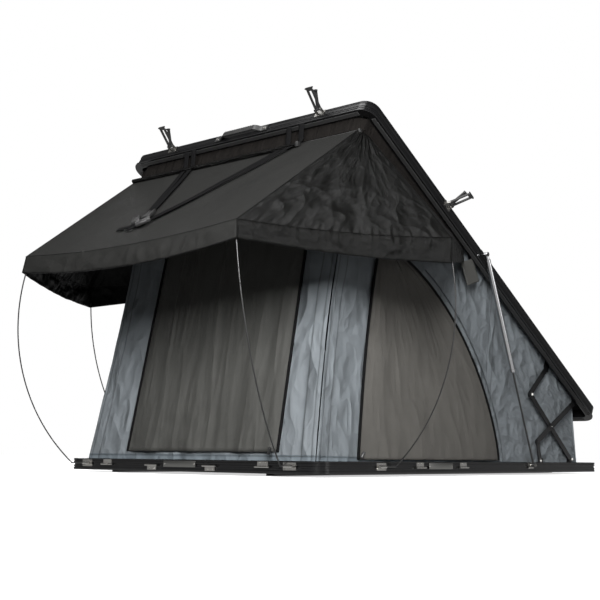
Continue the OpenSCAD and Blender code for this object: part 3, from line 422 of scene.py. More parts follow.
class Nodes:
    """A material's tree with short ways to add and join nodes."""

    def __init__(self, name, colour, rough, metal=0.0):
        self.material = bpy.data.materials.new(name)
        self.material.use_nodes = True
        self.tree = self.material.node_tree
        self.shader = self.tree.nodes["Principled BSDF"]
        self.shader.inputs["Base Color"].default_value = (*colour, 1.0)
        self.shader.inputs["Roughness"].default_value = rough
        self.shader.inputs["Metallic"].default_value = metal

    def add(self, kind, **inputs):
        node = self.tree.nodes.new(kind)
        for key, value in inputs.items():
            self.give(node, key.replace("_", " "), value)
        return node

    def give(self, node, key, value):
        socket = node.inputs[int(key)] if key.isdigit() else node.inputs[key]
        if isinstance(value, bpy.types.NodeSocket):
            self.tree.links.new(value, socket)
        else:
            socket.default_value = value

    def math(self, kind, a, b=0.0):
        node = self.tree.nodes.new("ShaderNodeMath")
        node.operation = kind
        self.give(node, "0", a)
        self.give(node, "1", b)
        return node.outputs[0]

    def blend(self, share, a, b):
        node = self.tree.nodes.new("ShaderNodeMix")
        node.data_type = "RGBA"
        self.give(node, "0", share)
        self.give(node, "6", (*a, 1.0) if isinstance(a, tuple) else a)
        self.give(node, "7", (*b, 1.0) if isinstance(b, tuple) else b)
        return node.outputs[2]

    def noise(self, vector, scale, detail=3.0):
        node = self.add("ShaderNodeTexNoise", Vector=vector, Scale=scale, Detail=detail)
        return node.outputs["Fac"]

    def bumped(self, height, strength, distance):
        node = self.add("ShaderNodeBump", Strength=strength, Distance=distance, Height=height)
        self.tree.links.new(node.outputs["Normal"], self.shader.inputs["Normal"])

    def shade(self, key, value):
        self.give(self.shader, key, value)


def tint(colour, share):
    """A lighter or darker colour."""
    return tuple(min(1.0, c * share) for c in colour)


# Length of a stitch, and the colour of a seam
STITCH = 0.007
SEAM_INK = (0.004, 0.004, 0.004)
# A seam's groove and its stitches: half width, darkness, depth in millimetres, and if it is a broken line
SEAM_LINES = ((0.004, 0.25, 0.8, False), (0.0010, 0.70, 1.6, True))
# The band's seam below its upper edge
BAND_SEAM = 0.005
# The walls' upright seams, in metres from their first edge
WALL_POSTS = (0.018, 0.062, 1.109, 1.153)


def canvas(name, colour, band=None, band_h=0.0, posts=(), weave=0.0016, crush=(8.0, 8.0, 2.0),
           gloss=0.12, rough=0.8):
    """Woven canvas on the sheet's own UV map: a stitched band along its foot, upright seams at posts, and
    crush: wrinkles a metre across and up, and their depth in millimetres."""
    n = Nodes(name, colour, rough)
    uv = n.add("ShaderNodeUVMap").outputs["UV"]
    parts = n.add("ShaderNodeSeparateXYZ", Vector=uv)
    u, v = parts.outputs["X"], parts.outputs["Y"]
    turns = 2 * math.pi / weave
    warp = n.math("SINE", n.math("MULTIPLY", u, turns))
    weft = n.math("SINE", n.math("MULTIPLY", v, turns))
    cloud = n.noise(uv, 4.0, 6.0)
    worn = n.noise(uv, 22.0, 5.0)
    base = n.blend(cloud, tint(colour, 0.78), tint(colour, 1.22))
    base = n.blend(n.math("MULTIPLY", worn, 0.35), base, tint(colour, 0.65))
    height = n.math("MULTIPLY", n.math("MULTIPLY", warp, weft), 0.22)
    across, up, deep = crush
    for share, fine in ((1.0, 1.0), (0.3, 2.3)):
        place = n.add("ShaderNodeMapping", Vector=uv, Scale=(across * fine, up * fine, 1.0))
        patch = n.noise(place.outputs["Vector"], 1.0, 1.0)
        ridge = n.math("ABSOLUTE", n.math("SUBTRACT", patch, 0.5))
        height = n.math("SUBTRACT", height, n.math("MULTIPLY", ridge, deep * share * 4.0))
    lines = [(u, v, at) for at in posts]
    if band is not None:
        base = n.blend(n.math("LESS_THAN", v, band_h), base, band)
        lines.insert(0, (v, u, band_h - BAND_SEAM))
    for side, along, at in lines:
        for width, dark, low, broken in SEAM_LINES:
            near = n.math("COMPARE", side, at)
            near.node.inputs[2].default_value = width
            if broken:
                wave = n.math("SINE", n.math("MULTIPLY", along, 2 * math.pi / STITCH))
                near = n.math("MULTIPLY", near, n.math("GREATER_THAN", wave, -0.4))
            base = n.blend(n.math("MULTIPLY", near, dark), base, SEAM_INK)
            height = n.math("SUBTRACT", height, n.math("MULTIPLY", near, low))
    n.shade("Base Color", base)
    n.shade("Specular IOR Level", gloss)
    n.bumped(height, 1.0, 0.001)
    return n.material


def satin_metal(name, colour, rough, metal, grain=(1.0, 1.0, 40.0), gloss=0.5):
    """Drawn or coated metal with faint lines along it and a little wear."""
    n = Nodes(name, colour, rough, metal)
    place = n.add("ShaderNodeTexCoord").outputs["Object"]
    lines = n.add("ShaderNodeMapping", Vector=place, Scale=grain).outputs["Vector"]
    streak = n.noise(lines, 18.0, 2.0)
    wear = n.noise(place, 7.0, 6.0)
    n.shade("Base Color", n.blend(streak, tint(colour, 0.8), tint(colour, 1.2)))
    n.shade("Roughness", n.math("ADD", rough - 0.08, n.math("MULTIPLY", wear, 0.16)))
    n.shade("Specular IOR Level", gloss)
    n.bumped(streak, 0.06, 0.0006)
    return n.material


def moulded(name, colour, rough):
    """Grained plastic or rubber."""
    n = Nodes(name, colour, rough)
    place = n.add("ShaderNodeTexCoord").outputs["Object"]
    grain = n.noise(place, 900.0, 2.0)
    n.shade("Base Color", n.blend(n.noise(place, 9.0, 4.0), tint(colour, 0.8), tint(colour, 1.3)))
    n.bumped(grain, 0.15, 0.0004)
    return n.material


def webbing(name, colour):
    """Ribbed webbing on the strap's own UV map."""
    n = Nodes(name, colour, 0.8)
    uv = n.add("ShaderNodeUVMap").outputs["UV"]
    parts = n.add("ShaderNodeSeparateXYZ", Vector=uv)
    u = n.math("MULTIPLY", parts.outputs["X"], 2 * math.pi / 0.0035)
    v = n.math("MULTIPLY", parts.outputs["Y"], 2 * math.pi / 0.0025)
    rib = n.math("MULTIPLY", n.math("SINE", u), n.math("SINE", n.math("ADD", v, u)))
    n.shade("Base Color", n.blend(rib, tint(colour, 0.8), tint(colour, 2.2)))
    n.shade("Specular IOR Level", 0.05)
    n.bumped(rib, 0.5, 0.0006)
    return n.material


def board(name, colour):
    """Smooth-faced board with a faint pebble."""
    n = Nodes(name, colour, 0.7)
    n.shade("Specular IOR Level", 0.12)
    place = n.add("ShaderNodeTexCoord").outputs["Object"]
    pebble = n.add("ShaderNodeTexVoronoi", Vector=place, Scale=160.0).outputs["Distance"]
    n.shade("Base Color", n.blend(n.noise(place, 4.0), tint(colour, 0.85), tint(colour, 1.15)))
    n.bumped(pebble, 0.2, 0.0005)
    return n.material


def recipes():
    """Each finish's maker, colour and what else the maker takes, by the slot's name."""
    c = bpy.context.scene.tent_colours
    walls = dict(band=tuple(c.band), band_h=bpy.context.scene.tent_cloth.hem, posts=WALL_POSTS)
    return {
        "frame_black": (satin_metal, c.frame, dict(rough=0.24, metal=0.0, gloss=0.42)),
        "rod_black": (satin_metal, c.plastic, dict(rough=0.35, metal=0.0)),
        "steel": (satin_metal, c.steel, dict(rough=0.26, metal=1.0)),
        "zinc": (satin_metal, tint(c.steel, 1.5), dict(rough=0.4, metal=0.0)),
        "chrome": (satin_metal, c.chrome, dict(rough=0.12, metal=1.0)),
        "plate_grey": (satin_metal, c.plate, dict(rough=0.42, metal=1.0)),
        "plastic_black": (moulded, c.plastic, dict(rough=0.42)),
        "rubber_black": (moulded, c.rubber, dict(rough=0.7)),
        "panel_black": (board, c.board, {}),
        "panel_grey": (board, c.floor_board, {}),
        "webbing": (webbing, c.webbing, {}),
        "canvas_blue": (canvas, c.canvas, dict(walls, crush=(7.0, 4.0, 16.0), gloss=0.22, rough=0.55)),
        "canvas_dark": (canvas, c.door, dict(crush=(5.0, 1.6, 8.0))),
        "door_front": (canvas, c.front_door, dict(crush=(8.0, 1.2, 9.0), gloss=0.2, rough=0.55)),
        "awning_grey": (canvas, c.awning, dict(crush=(3.5, 3.0, 5.0), gloss=0.14, rough=0.6)),
        # wing_grey is the awning's charcoal darkened to a quarter: painted shade on the wings, and on the
        # awning's rolled edges and sleeve
        "wing_grey": (canvas, tint(c.awning, 0.25), dict(crush=(6.0, 5.0, 14.0), gloss=0.13, rough=0.38)),
        "header_brown": (canvas, c.header, dict(crush=(40.0, 6.0, 3.0), gloss=0.07)),
        "foam": (canvas, c.foam, dict(weave=0.004, crush=(4.0, 4.0, 2.0))),
    }


@functools.cache
def finish(name):
    """A finish by its slot's name, made once."""
    maker, shade, facts = recipes()[name]
    return maker(name, tuple(shade), **facts)


# Brackets with the rails' black coat
COATED = ("strut_lid_brackets", "link_lid_brackets", "link_base_brackets")


class TENT_OT_finishes(bpy.types.Operator):
    """Gives each hard piece of the frame its finish"""
    bl_idname = "tent.finishes"
    bl_label = "Finish the hard pieces"

    def execute(self, context):
        for part in frame["record"]["subparts"]:
            slot = "frame_black" if part["node"] in COATED else part["material_slot"]
            paint(frame["nodes"][part["node"]], finish(slot))
        return {"FINISHED"}


# Walls and doors

# Depths, widths and gaps of the folds of the walls and doors and of their trims
SIDE_INSET = 0.004
REAR_FOLD = 0.004
SWELL = 0.005
DOOR_GAP = 0.0035
CREASE_W = 0.011
SIDE_FOOT = 0.022
SIDE_FOLD = 0.011
PIPING_OUT = 0.002
SEAM_BACK = 0.042


def drawn_in(y, z):
    """How far the side walls are drawn in half-way up, most at the front."""
    shell, cloth, _ = props()
    c, s = lid_turn()
    head = shell.lid_z - (y - shell.lid_y - cloth.head_up * s) / c * s + cloth.head_up * c
    share = (z - cloth.foot_z) / max(0.05, head - cloth.foot_z)
    return cloth.drawn * bump(share) * mix(1.0, 0.2, smooth(-0.85, 0.1, y))


def front_base(x, v):
    """The front wall's even face: x across, v from foot to head."""
    shell, cloth, _ = props()
    foot = Vector((x, cloth.front_y, cloth.foot_z))
    head = on_lid(x, -shell.lid_l + cloth.front_head, cloth.head_up)
    swell = SWELL * bump(v) * bump(0.5 + 0.5 * x / wall_x())
    return foot.lerp(head, v) - Vector((0, swell, 0))


def door_half(v):
    """Half of the front door's width at v, from the wall's foot to its head."""
    cloth = bpy.context.scene.tent_cloth
    return mix(cloth.door_half, cloth.door_head_half, v)


def front_wall(u, v):
    """The front wall: u from left to right, v from foot to head."""
    _, cloth, _ = props()
    edge = front_base(0, v)
    half = wall_x() - drawn_in(edge.y, edge.z)
    x = mix(-half, half, u)
    beside = smooth(0.0, 0.05, abs(x - cloth.door_middle) - door_half(v)) * bump(u * 0.94 + 0.03) ** 0.3
    out = cloth.fold * beside * bump(v * 0.96 + 0.02) ** 0.4 * crumple(x, v * 1.3, 2.0)
    return front_base(x, v) - Vector((0, max(0.0, out), 0))


# Front door's foot and head, as shares of the wall's height
DOOR_RISE = (0.035, 0.9)
# Front door's upright creases: place across, lean over the wall's height, and the share where each starts
DOOR_CREASES = (
    (-0.215, 0.010, 0.22), (-0.155, 0.020, 0.30), (-0.115, -0.015, 0.34), (0.045, -0.050, 0.28))


def front_door(u, v):
    """The front door: u from left to right, v upwards."""
    _, cloth, _ = props()
    rise = mix(*DOOR_RISE, v)
    half = door_half(rise)
    x = cloth.door_middle + mix(-half, half, u)
    edge = smooth(0.0, 0.06, min(u, 1 - u)) * smooth(0.0, 0.05, 1 - v)
    broad = creases(x, rise * 0.12, 5.0, 5.0)
    foot = (1 - smooth(0.0, 0.22, v)) * creases(x * 0.7, rise * 2.2, 6.0, 9.0)
    folds = 0.15 + 0.45 * broad + 0.30 * crumple(x, rise * 1.3, 14.0) + 0.45 * foot
    for at, lean, low in DOOR_CREASES:
        off = (x - at - lean * rise) / CREASE_W
        folds += 0.75 * math.exp(-off * off) * smooth(low, low + 0.25, rise)
    out = DOOR_GAP + cloth.door_fold * edge * max(0.0, folds)
    return front_base(x, rise) - Vector((0, out, 0))


def side_wall(side, u, v):
    """One side wall: u from front to rear, v from foot to head."""
    shell, cloth, _ = props()
    x = wall_x()
    foot = mix(cloth.front_y + SIDE_INSET, cloth.rear_y - SIDE_INSET, u)
    ends = (-shell.lid_l + cloth.front_head + SIDE_INSET, -cloth.rear_head - SIDE_INSET)
    head = on_lid(x, mix(*ends, u), cloth.head_up)
    at = Vector((x, foot, cloth.foot_z)).lerp(head, v)
    deep = mix(1.3, 0.6, smooth(0.1, 0.4, u)) * cloth.fold
    dent = deep * bump(u) ** 0.3 * bump(v) ** 0.6 * crumple(at.y, at.z, 8.0)
    at.x -= drawn_in(at.y, at.z) + max(0.0, dent)
    return on_side(side, at)


def rear_wall(u, v):
    """The rear wall: u from right to left, v from foot to head."""
    _, cloth, _ = props()
    half = wall_x()
    x = mix(half, -half, u)
    foot = Vector((x, cloth.rear_y, cloth.foot_z))
    at = foot.lerp(on_lid(x, -cloth.rear_head, cloth.head_up), v)
    at.y -= REAR_FOLD * bump(u) * bump(v) * (0.5 + 0.5 * math.sin(40 * x))
    return at


# Power of the side doors' round edge, and the share of its height that they take up
DOOR_ROUND = 1.6
DOOR_SHARE = 0.97


def side_door(side, u, v):
    """One D-shaped side door: u from front to rear, v upwards."""
    shell, cloth, _ = props()
    front = cloth.side_lean * v
    reach = (1 - (v * DOOR_SHARE) ** DOOR_ROUND) ** (1 / DOOR_ROUND)
    rear = cloth.side_lean + (cloth.side_w - cloth.side_lean) * reach
    y = -shell.half_l + cloth.side_in + mix(front, rear, u)
    z = cloth.foot_z + SIDE_FOOT + cloth.side_h * v
    edge = smooth(0.0, 0.12, min(u, 1 - u)) * smooth(0.0, 0.06, 1 - v)
    folds = 0.15 + 0.5 * creases(y, z * 0.15, 11.0, 4.0) + 0.4 * crumple(y, z, 17.0)
    out = DOOR_GAP + SIDE_FOLD * edge * max(0.0, folds)
    return on_side(side, Vector((wall_x() - drawn_in(y, z) + out, y, z)))


def side_seam(side, v):
    """Seam behind a side door's curved edge."""
    at = side_door(side, 1.0, 0.93 * v)
    return at + Vector((-side * 0.002, SEAM_BACK + 0.012 * v, 0.016 * v))


def pressed(ob):
    """Seats walls, doors and their trims on the base, each with a mesh of its own."""
    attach(ob, "base")
    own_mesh(ob)


SIDES = (("left", -1), ("right", 1))


class TENT_OT_walls(bpy.types.Operator):
    """Hangs the four canvas walls between the shells"""
    bl_idname = "tent.walls"
    bl_label = "Canvas walls"

    def execute(self, context):
        thick = context.scene.tent_cloth.thick
        walls = [("front", 240, 110, front_wall), ("rear", 90, 24, rear_wall)]
        walls += [(name, 240, 90, functools.partial(side_wall, side)) for name, side in SIDES]
        for name, cols, rows, place in walls:
            ob = cloth_sheet("wall_cloth_" + name, cols, rows, place, thick, finish("canvas_blue"))
            hang(ob, "base", ["wall_" + name])
            pressed(ob)
        return {"FINISHED"}


def round_edge(place, shift, count=40):
    """Points up the first edge, over the head and down the last edge of a door."""
    points = [place(0.0, j / count) + shift for j in range(count)]
    points += [place(i / count, 1.0) + shift for i in range(count)]
    points += [place(1.0, 1 - j / count) + shift for j in range(count + 1)]
    return points


def hang_door(name, place, rows, material, node, out):
    """A door on its wall with a zip round it; out is the way that the wall looks."""
    cloth = bpy.context.scene.tent_cloth
    ob = cloth_sheet("door_cloth_" + name, 180, rows, place, cloth.thick, material)
    hang(ob, "base", [node])
    pressed(ob)
    points = round_edge(place, Vector(out) * PIPING_OUT)
    pressed(tube("door_piping_" + name, points, cloth.piping, finish("webbing")))


class TENT_OT_doors(bpy.types.Operator):
    """Hangs the front door and the side doors with their piping"""
    bl_idname = "tent.doors"
    bl_label = "Doors"

    def execute(self, context):
        cloth = context.scene.tent_cloth
        hang_door("front", front_door, 80, finish("door_front"), "door_front", (0, -1, 0))
        for name, side in SIDES:
            place = functools.partial(side_door, side)
            hang_door(name, place, 90, finish("canvas_dark"), "side_doors", (side, 0, 0))
            points = [side_seam(side, i / 60) for i in range(61)]
            pressed(tube("door_seam_" + name, points, cloth.seam, finish("canvas_blue")))
        return {"FINISHED"}


# Awning

# Place of the wings' neck behind and below the lid's front edge
NECK_BACK = 0.090
NECK_DROP = 0.052
# Distance of the wings from the top panel, and depths of the waves and folds of the awning's cloth
WING_GAP = 0.0028
TOP_WAVE = 0.006
TOP_GATHER = 0.007
WING_RIPPLE = 0.008
WING_CREASE = 0.009
WING_TUCK = 0.0022
WING_RUCK = 0.011
HEADER_TUCK = 0.0055


@functools.cache
def corners():
    """Head, front, side, end and neck of the awning's right half."""
    shell, _, a = props()
    front = on_lid(0, -shell.lid_l, 0)
    head = Vector((a.head_half, front.y + 0.0025, front.z - a.head_drop))
    fore = Vector((a.front_half, -shell.half_l - a.reach, a.front_z))
    side = Vector((shell.half_w + a.side_out, -shell.half_l + a.side_in, a.side_z))
    inner = shell.half_w - shell.rail_w - 0.008
    end = on_lid(inner, -shell.lid_l + a.side_l, -0.010)
    neck = on_lid(inner, -shell.lid_l + NECK_BACK, -NECK_DROP)
    return head, fore, side, end, neck


# Shares of the awning's panels: front fold and wing folds downwards, side corners along the wings
FOLD_SHARE = 0.86
WING_FOLD = 0.8
SIDE_SHARE = 0.6


def awning_top(u, v):
    """Top panel and front valance: u from right to left, v downwards."""
    _, _, a = props()
    head, fore, _, _, _ = corners()
    s = 1 - 2 * u
    k = min(1.0, v / FOLD_SHARE)
    drop = past(FOLD_SHARE, v)
    half = mix(head.x, fore.x, k) + 0.010 * drop
    sag = a.sag * (1 - s * s) * (0.6 * bump(k) + k + 0.5 * drop)
    gather = 0.7 * creases(s * 0.62 + drop * 0.03, drop * 0.05, 3.0, 16.0) + rumple(s, drop * 0.2, 4.0, 6.0)
    gather *= TOP_GATHER * bump(drop * 0.85) * bump(u) ** 0.3
    wave = rumple(s, k * 0.5, 4.0, 3.0) + 0.6 * creases(s + 0.4 * k, k * 0.3, 5.0, 2.6)
    wave *= TOP_WAVE * bump(u) ** 0.5 * bump(k)
    return Vector((
        s * half,
        mix(head.y, fore.y, k) - 0.008 * drop - gather - wave * 0.6,
        mix(head.z, fore.z, k) - a.hem * drop - sag + wave,
    ))


def wing_edge(w):
    """The right wing's outer fold, from the front corner by the side corner to the lid."""
    _, _, a = props()
    _, fore, side, end, _ = corners()
    if w < SIDE_SHARE:
        t = w / SIDE_SHARE
        return fore.lerp(side, t) - Vector((0, 0, a.sag * 0.6 * bump(t)))
    return side.lerp(end, past(SIDE_SHARE, w))


def wing_neck(w):
    """The right wing's upper edge, from the batten by the neck to the lid."""
    head, _, _, end, neck = corners()
    if w < SIDE_SHARE:
        return head.lerp(neck, w / SIDE_SHARE)
    return neck.lerp(end + Vector((0, 0, 0.014)), past(SIDE_SHARE, w))


def wing(side, w, v):
    """One wing: w is 0 at the top panel's seam and 1 at the lid, v downwards."""
    _, _, a = props()
    k = min(1.0, v / WING_FOLD)
    drop = past(WING_FOLD, v)
    ahead = max(0.0, 1 - w / SIDE_SHARE)
    behind = past(SIDE_SHARE, w)
    hem = a.hem * (1 + 0.4 * (1 - ahead)) * mix(1.0, 0.45, behind)
    held = bump(w / SIDE_SHARE) if w < SIDE_SHARE else bump(behind)
    x, y = w * 1.27, k * 0.55
    fan = creases(x * 1.3 + y * 0.3, y * 0.5, 6.0, 5.0) + 0.5 * rumple(x, y, 7.0, 3.0)
    ripple = WING_RIPPLE * held ** 0.5 * bump(k) ** 0.6 * fan
    crease = 0.6 * creases(x + y * 0.6, y - x * 0.3, 9.0, 7.0)
    crease += 0.35 * creases(x - y * 0.4, y * 0.8, 11.0, 15.0)
    crease *= WING_CREASE * held ** 0.4 * smooth(0.05, 0.30, k) * (1 - smooth(0.90, 1.0, k))
    tuck = math.sin(215 * w) + 0.7 * math.sin(331 * w + 1.0)
    tuck *= WING_TUCK * held ** 0.3 * smooth(0.90, 0.99, k)
    ruck = 0.6 * creases(x * 1.4 + drop * 0.08, drop * 0.10, 8.0, 13.0)
    ruck += rumple(x * 1.5, drop * 0.2, 10.0, 8.0)
    ruck *= WING_RUCK * bump(drop * 0.85) * held ** 0.3
    folds = ripple + crease + ruck
    out = WING_GAP + 0.006 * drop * ahead + folds + tuck * (1 - drop)
    at = wing_neck(w).lerp(wing_edge(w), k)
    at += Vector((out, -0.008 * drop * ahead - folds * 0.5, -hem * drop))
    return on_side(side, at)


def fold_top(ob):
    """The top panel and its straps lie level under the lid once it is down."""
    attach(ob, "awning")
    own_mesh(ob)


# Lean of the fore wings' way down, along their ridge and out of it, and where the wings come to lie
FORE_ALONG = 0.089
FORE_OUT = 0.060
FORE_LIFT = 0.027
AFT_LIFT = 0.030


def fold_fore(ob, name, side):
    """Seats a wing's fore half on its wing's body; its lean onto the ridge from the neck to the side corner
    is worked out but not used.
    """
    _, fore, corner, _, neck = corners()
    ridge = (corner - neck).normalized()
    along = ((fore - neck) - ridge * (fore - neck).dot(ridge)).normalized()
    tilt = (along + ridge * FORE_ALONG + ridge.cross(along) * FORE_OUT).normalized()
    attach(ob, "awning_wing_" + name)
    on_side(side, tilt)
    on_side(side, neck + tilt * FORE_LIFT)
    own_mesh(ob)


def fold_aft(ob, name, side):
    """Seats a wing's aft half on its wing's body; its level under the lid's board is worked out but not
    used.
    """
    _, _, a = props()
    end = corners()[3]
    c, s = lid_turn()
    level = Vector((-math.sin(a.wing_turn), s * math.cos(a.wing_turn), c * math.cos(a.wing_turn)))
    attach(ob, "awning_wing_" + name)
    on_side(side, level)
    on_side(side, end + level * AFT_LIFT)
    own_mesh(ob)


def tucked(ob):
    """Gives strips and tabs that hang from the lid a mesh of their own."""
    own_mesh(ob)


# Even steps along an edge
SHARES = [i / 80 for i in range(81)]


def hang_wing(name, side):
    """One wing's fore and aft halves, and the rolled lines along their folds and hems."""
    _, _, a = props()
    # The wings and their rolled lines take the awning's charcoal darkened as painted shade
    dark = finish("wing_grey")
    body = "awning_wing_" + name

    def fore(u, v):
        return wing(side, u * SIDE_SHARE, v)

    def aft(u, v):
        return wing(side, mix(SIDE_SHARE, 1.0, u), v)
    ob = cloth_sheet("awning_wing_fore_" + name, 140, 90, fore, a.thick, dark)
    hang(ob, body, [body])
    fold_fore(ob, name, side)
    ob = cloth_sheet("awning_wing_aft_" + name, 90, 70, aft, a.thick, dark)
    hang(ob, body)
    fold_aft(ob, name, side)
    for part, place, down in (("fore", fore, fold_fore), ("aft", aft, fold_aft)):
        for edge, v in (("fold", WING_FOLD), ("hem", 1.0)):
            points = [place(t, v) for t in SHARES]
            down(tube("wing_%s_%s_%s" % (edge, part, name), points, a.edge, dark), name, side)


class TENT_OT_awning(bpy.types.Operator):
    """Hangs the awning's top and its two wings, with their sewn edges"""
    bl_idname = "tent.awning"
    bl_label = "Awning"

    def execute(self, context):
        _, _, a = props()
        # The top's rolled edges and sleeve take the wings' darker copy of the charcoal, painted shade
        grey, dark = finish("awning_grey"), finish("wing_grey")
        ob = cloth_sheet("awning_cloth_top", 180, 100, awning_top, a.thick, grey)
        hang(ob, "awning", ["awning_top"])
        fold_top(ob)
        edges = {
            "fold": [awning_top(t, FOLD_SHARE - 0.002) for t in SHARES],
            "hem": [awning_top(t, 1.0) for t in SHARES],
            "seam_right": [awning_top(0.0, t) for t in SHARES],
            "seam_left": [awning_top(1.0, t) for t in SHARES],
        }
        for name, points in edges.items():
            fold_top(tube("awning_" + name, points, a.edge, dark))
        lift = Vector((0, -0.59, 0.81)) * a.sleeve
        line = [awning_top(mix(1.0, a.sleeve_end, t), 0.035) + lift for t in SHARES]
        fold_top(tube("awning_sleeve", line, a.sleeve, dark))
        knob = block("sleeve_knob", (0.016, 0.022, 0.022), 0.005)
        paint(knob, finish("plastic_black"))
        fold_top(placed(knob, Matrix.Translation(line[-1] + Vector((0.008, 0, 0)))))
        for name, side in SIDES:
            hang_wing(name, side)
        return {"FINISHED"}


def header(u, v):
    """Gathered strip from the lid's front rail down to the batten."""
    shell, _, a = props()
    front = on_lid(0, -shell.lid_l, 0)
    half = shell.half_w - shell.rail_w - 0.005
    x = mix(-half, half, u)
    back = 0.020 * smooth(half - 0.05, half, abs(x))
    foot = Vector((x, front.y + 0.010 + back, front.z - a.head_drop + 0.006))
    top = on_lid(x, -shell.lid_l + shell.rail_w + 0.0015 + back, 0.006)
    at = foot.lerp(top, v)
    tuck = math.sin(78 * x) * 0.5 + math.sin(131 * x + 1.0) * 0.35
    tuck += 0.6 * rumple(x * 9, v * 0.4, 9.0, 3.0)
    at.y -= HEADER_TUCK * bump(v) * (0.6 + tuck * 0.6)
    return at


def side_strip(side, u, v):
    """Strip along the lid's side rail down to the wing's upper edge."""
    shell, _, a = props()
    inner = shell.half_w - shell.rail_w - 0.006
    w = mix(0.35 * SIDE_SHARE, 1.0, u)
    back = mix(mix(0.030, NECK_BACK, min(1.0, w / SIDE_SHARE)), a.side_l, past(SIDE_SHARE, w))
    top = on_lid(inner, -shell.lid_l + back, 0.004)
    at = top.lerp(wing_neck(w), 1 - v)
    at.x += 0.002 + 0.0035 * bump(v) * (math.sin(60 * w) * 0.5 + rumple(w * 12, v, 10.0, 2.0))
    return on_side(side, at)


class TENT_OT_header(bpy.types.Operator):
    """Hangs the gathered strips between the lid and the awning"""
    bl_idname = "tent.header"
    bl_label = "Header strips"

    def execute(self, context):
        _, _, a = props()
        brown = finish("header_brown")
        ob = cloth_sheet("header_cloth", 260, 16, header, a.thick, brown)
        hang(ob, "lid", ["awning_header"])
        tucked(ob)
        for name, side in SIDES:
            place = functools.partial(side_strip, side)
            ob = cloth_sheet("side_strip_" + name, 140, 10, place, a.thick, brown)
            hang(ob, "lid")
            tucked(ob)
        knob = block("knob", (0.012, 0.016, 0.016), 0.004)
        paint(knob, finish("plastic_black"))
        low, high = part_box("awning_batten")
        _, y, z = (low + high) / 2
        ends = [Matrix.Translation((side * (a.head_half + 0.004), y, z)) for _, side in SIDES]
        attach(repeated(knob, "batten_knobs", ends), "awning")
        return {"FINISHED"}


# Straps

# Straps' thickness and height over the awning, the same for the buckles, and the way that the top looks
STRAP_THICK = 0.0016
STRAP_LIFT = 0.0065
BUCKLE_H = 0.013
BUCKLE_LIFT = 0.016
TOP_OUT = Vector((0, -0.66, 0.75))


def strap_path(u0, u1, v0, v1):
    """A strap's line over the awning."""
    return lambda t: awning_top(mix(u0, u1, t), mix(v0, v1, t))


def hung_strap(x, u1, v1):
    """A strap's line from the lid's rim over the header and the awning to its buckle."""
    shell, _, a = props()
    rim = on_lid(x, -shell.lid_l + shell.rail_w * 0.3, -0.003)
    u0 = 0.5 - 0.5 * x / a.head_half
    foot = awning_top(u0, 0.0)
    share = (rim - foot).length / ((rim - foot).length + (awning_top(u1, v1) - foot).length)

    def path(t):
        if t < share:
            return rim.lerp(foot, t / share)
        k = past(share, t)
        return awning_top(mix(u0, u1, k), v1 * k)
    return path


def strap_sheet(name, path, layer):
    """A webbing ribbon along path(t), lying on the awning as a layer of the straps there."""
    _, _, a = props()
    rise = TOP_OUT * (STRAP_LIFT + STRAP_THICK * layer)

    def place(u, v):
        ahead = (path(min(1.0, v + 0.01)) - path(max(0.0, v - 0.01))).normalized()
        across = ahead.cross(TOP_OUT).normalized()
        ripple = 0.002 * rumple(v * 3.0, u * 0.3, len(name), 2.0)
        return path(v) + across * (a.strap_w * (u - 0.5)) + rise + TOP_OUT * ripple
    return cloth_sheet(name, 4, 90, place, STRAP_THICK, finish("webbing"))


def buckle():
    """One buckle with its two prongs."""
    trim = bpy.context.scene.tent_trim
    wide, tall = trim.buckle_w, trim.buckle_l
    ob = block("buckle", (wide, tall, BUCKLE_H), 0.004)
    for dx in (-0.3, 0.3):
        prong = block("prong", (wide * 0.22, tall * 0.9, 0.016), 0.003, (dx * wide, tall * 0.35, 0))
        active(ob)
        prong.select_set(True)
        bpy.ops.object.join()
    paint(ob, finish("plastic_black"))
    return ob


# Straps that hang from the lid's rim: name, place along the rim, and end across beside the buckles
RIM_STRAPS = (
    ("one", -0.294, 0.018), ("two", -0.253, 0.004), ("three", 0.328, -0.020), ("four", 0.264, -0.006))
# The buckles' places across and down the awning beside their middle, and their turns in degrees
BUCKLES = ((-0.034, 0.0, 35), (0.020, 0.03, -50), (0.002, -0.035, 10))


class TENT_OT_straps(bpy.types.Operator):
    """Lays the closing straps, their buckles and loose tails on the awning"""
    bl_idname = "tent.straps"
    bl_label = "Closing straps"

    def execute(self, context):
        _, _, a = props()
        u, v = a.buckle_u, a.buckle_v
        lines = {name: hung_strap(x, u + du, v) for name, x, du in RIM_STRAPS}
        lines["tail_long"] = strap_path(u - 0.02, u + 0.09, v + 0.02, v + 0.055)
        lines["tail_short"] = strap_path(u + 0.015, u + 0.015, v - 0.02, v + 0.09)
        straps = [strap_sheet("strap_" + name, path, i % 3) for i, (name, path) in enumerate(lines.items())]
        at = awning_top(u, v)
        ahead = (awning_top(u, v + 0.04) - at).normalized()
        out = Vector((1, 0, 0)).cross(-ahead).normalized()
        spots = []
        for dx, dv, turn in BUCKLES:
            spot = facing(at + out * BUCKLE_LIFT + Vector((dx, 0, 0)) + ahead * dv, out, -ahead)
            spots.append(spot @ Matrix.Rotation(math.radians(turn), 4, "Z"))
        fold_top(repeated(buckle(), "strap_buckles", spots))
        for i, ob in enumerate(straps):
            hang(ob, "awning", ["closing_straps"] if i == 0 else [])
            fold_top(ob)
        return {"FINISHED"}


def stuffed(ob, steps=12):
    """Blows a closed cover up a little, as its filling does."""
    scene = bpy.context.scene
    mod = ob.modifiers.new("Cloth", "CLOTH")
    mod.settings.use_pressure = True
    mod.settings.uniform_pressure_force = 0.6
    mod.settings.effector_weights.gravity = 0.0
    mod.settings.tension_stiffness = 40.0
    mod.settings.shrink_min = -0.01
    mod.point_cache.frame_start = 1
    mod.point_cache.frame_end = steps
    for step in range(1, steps + 1):
        scene.frame_set(step)
    active(ob)
    bpy.ops.object.modifier_apply(modifier=mod.name)
    scene.frame_set(1)


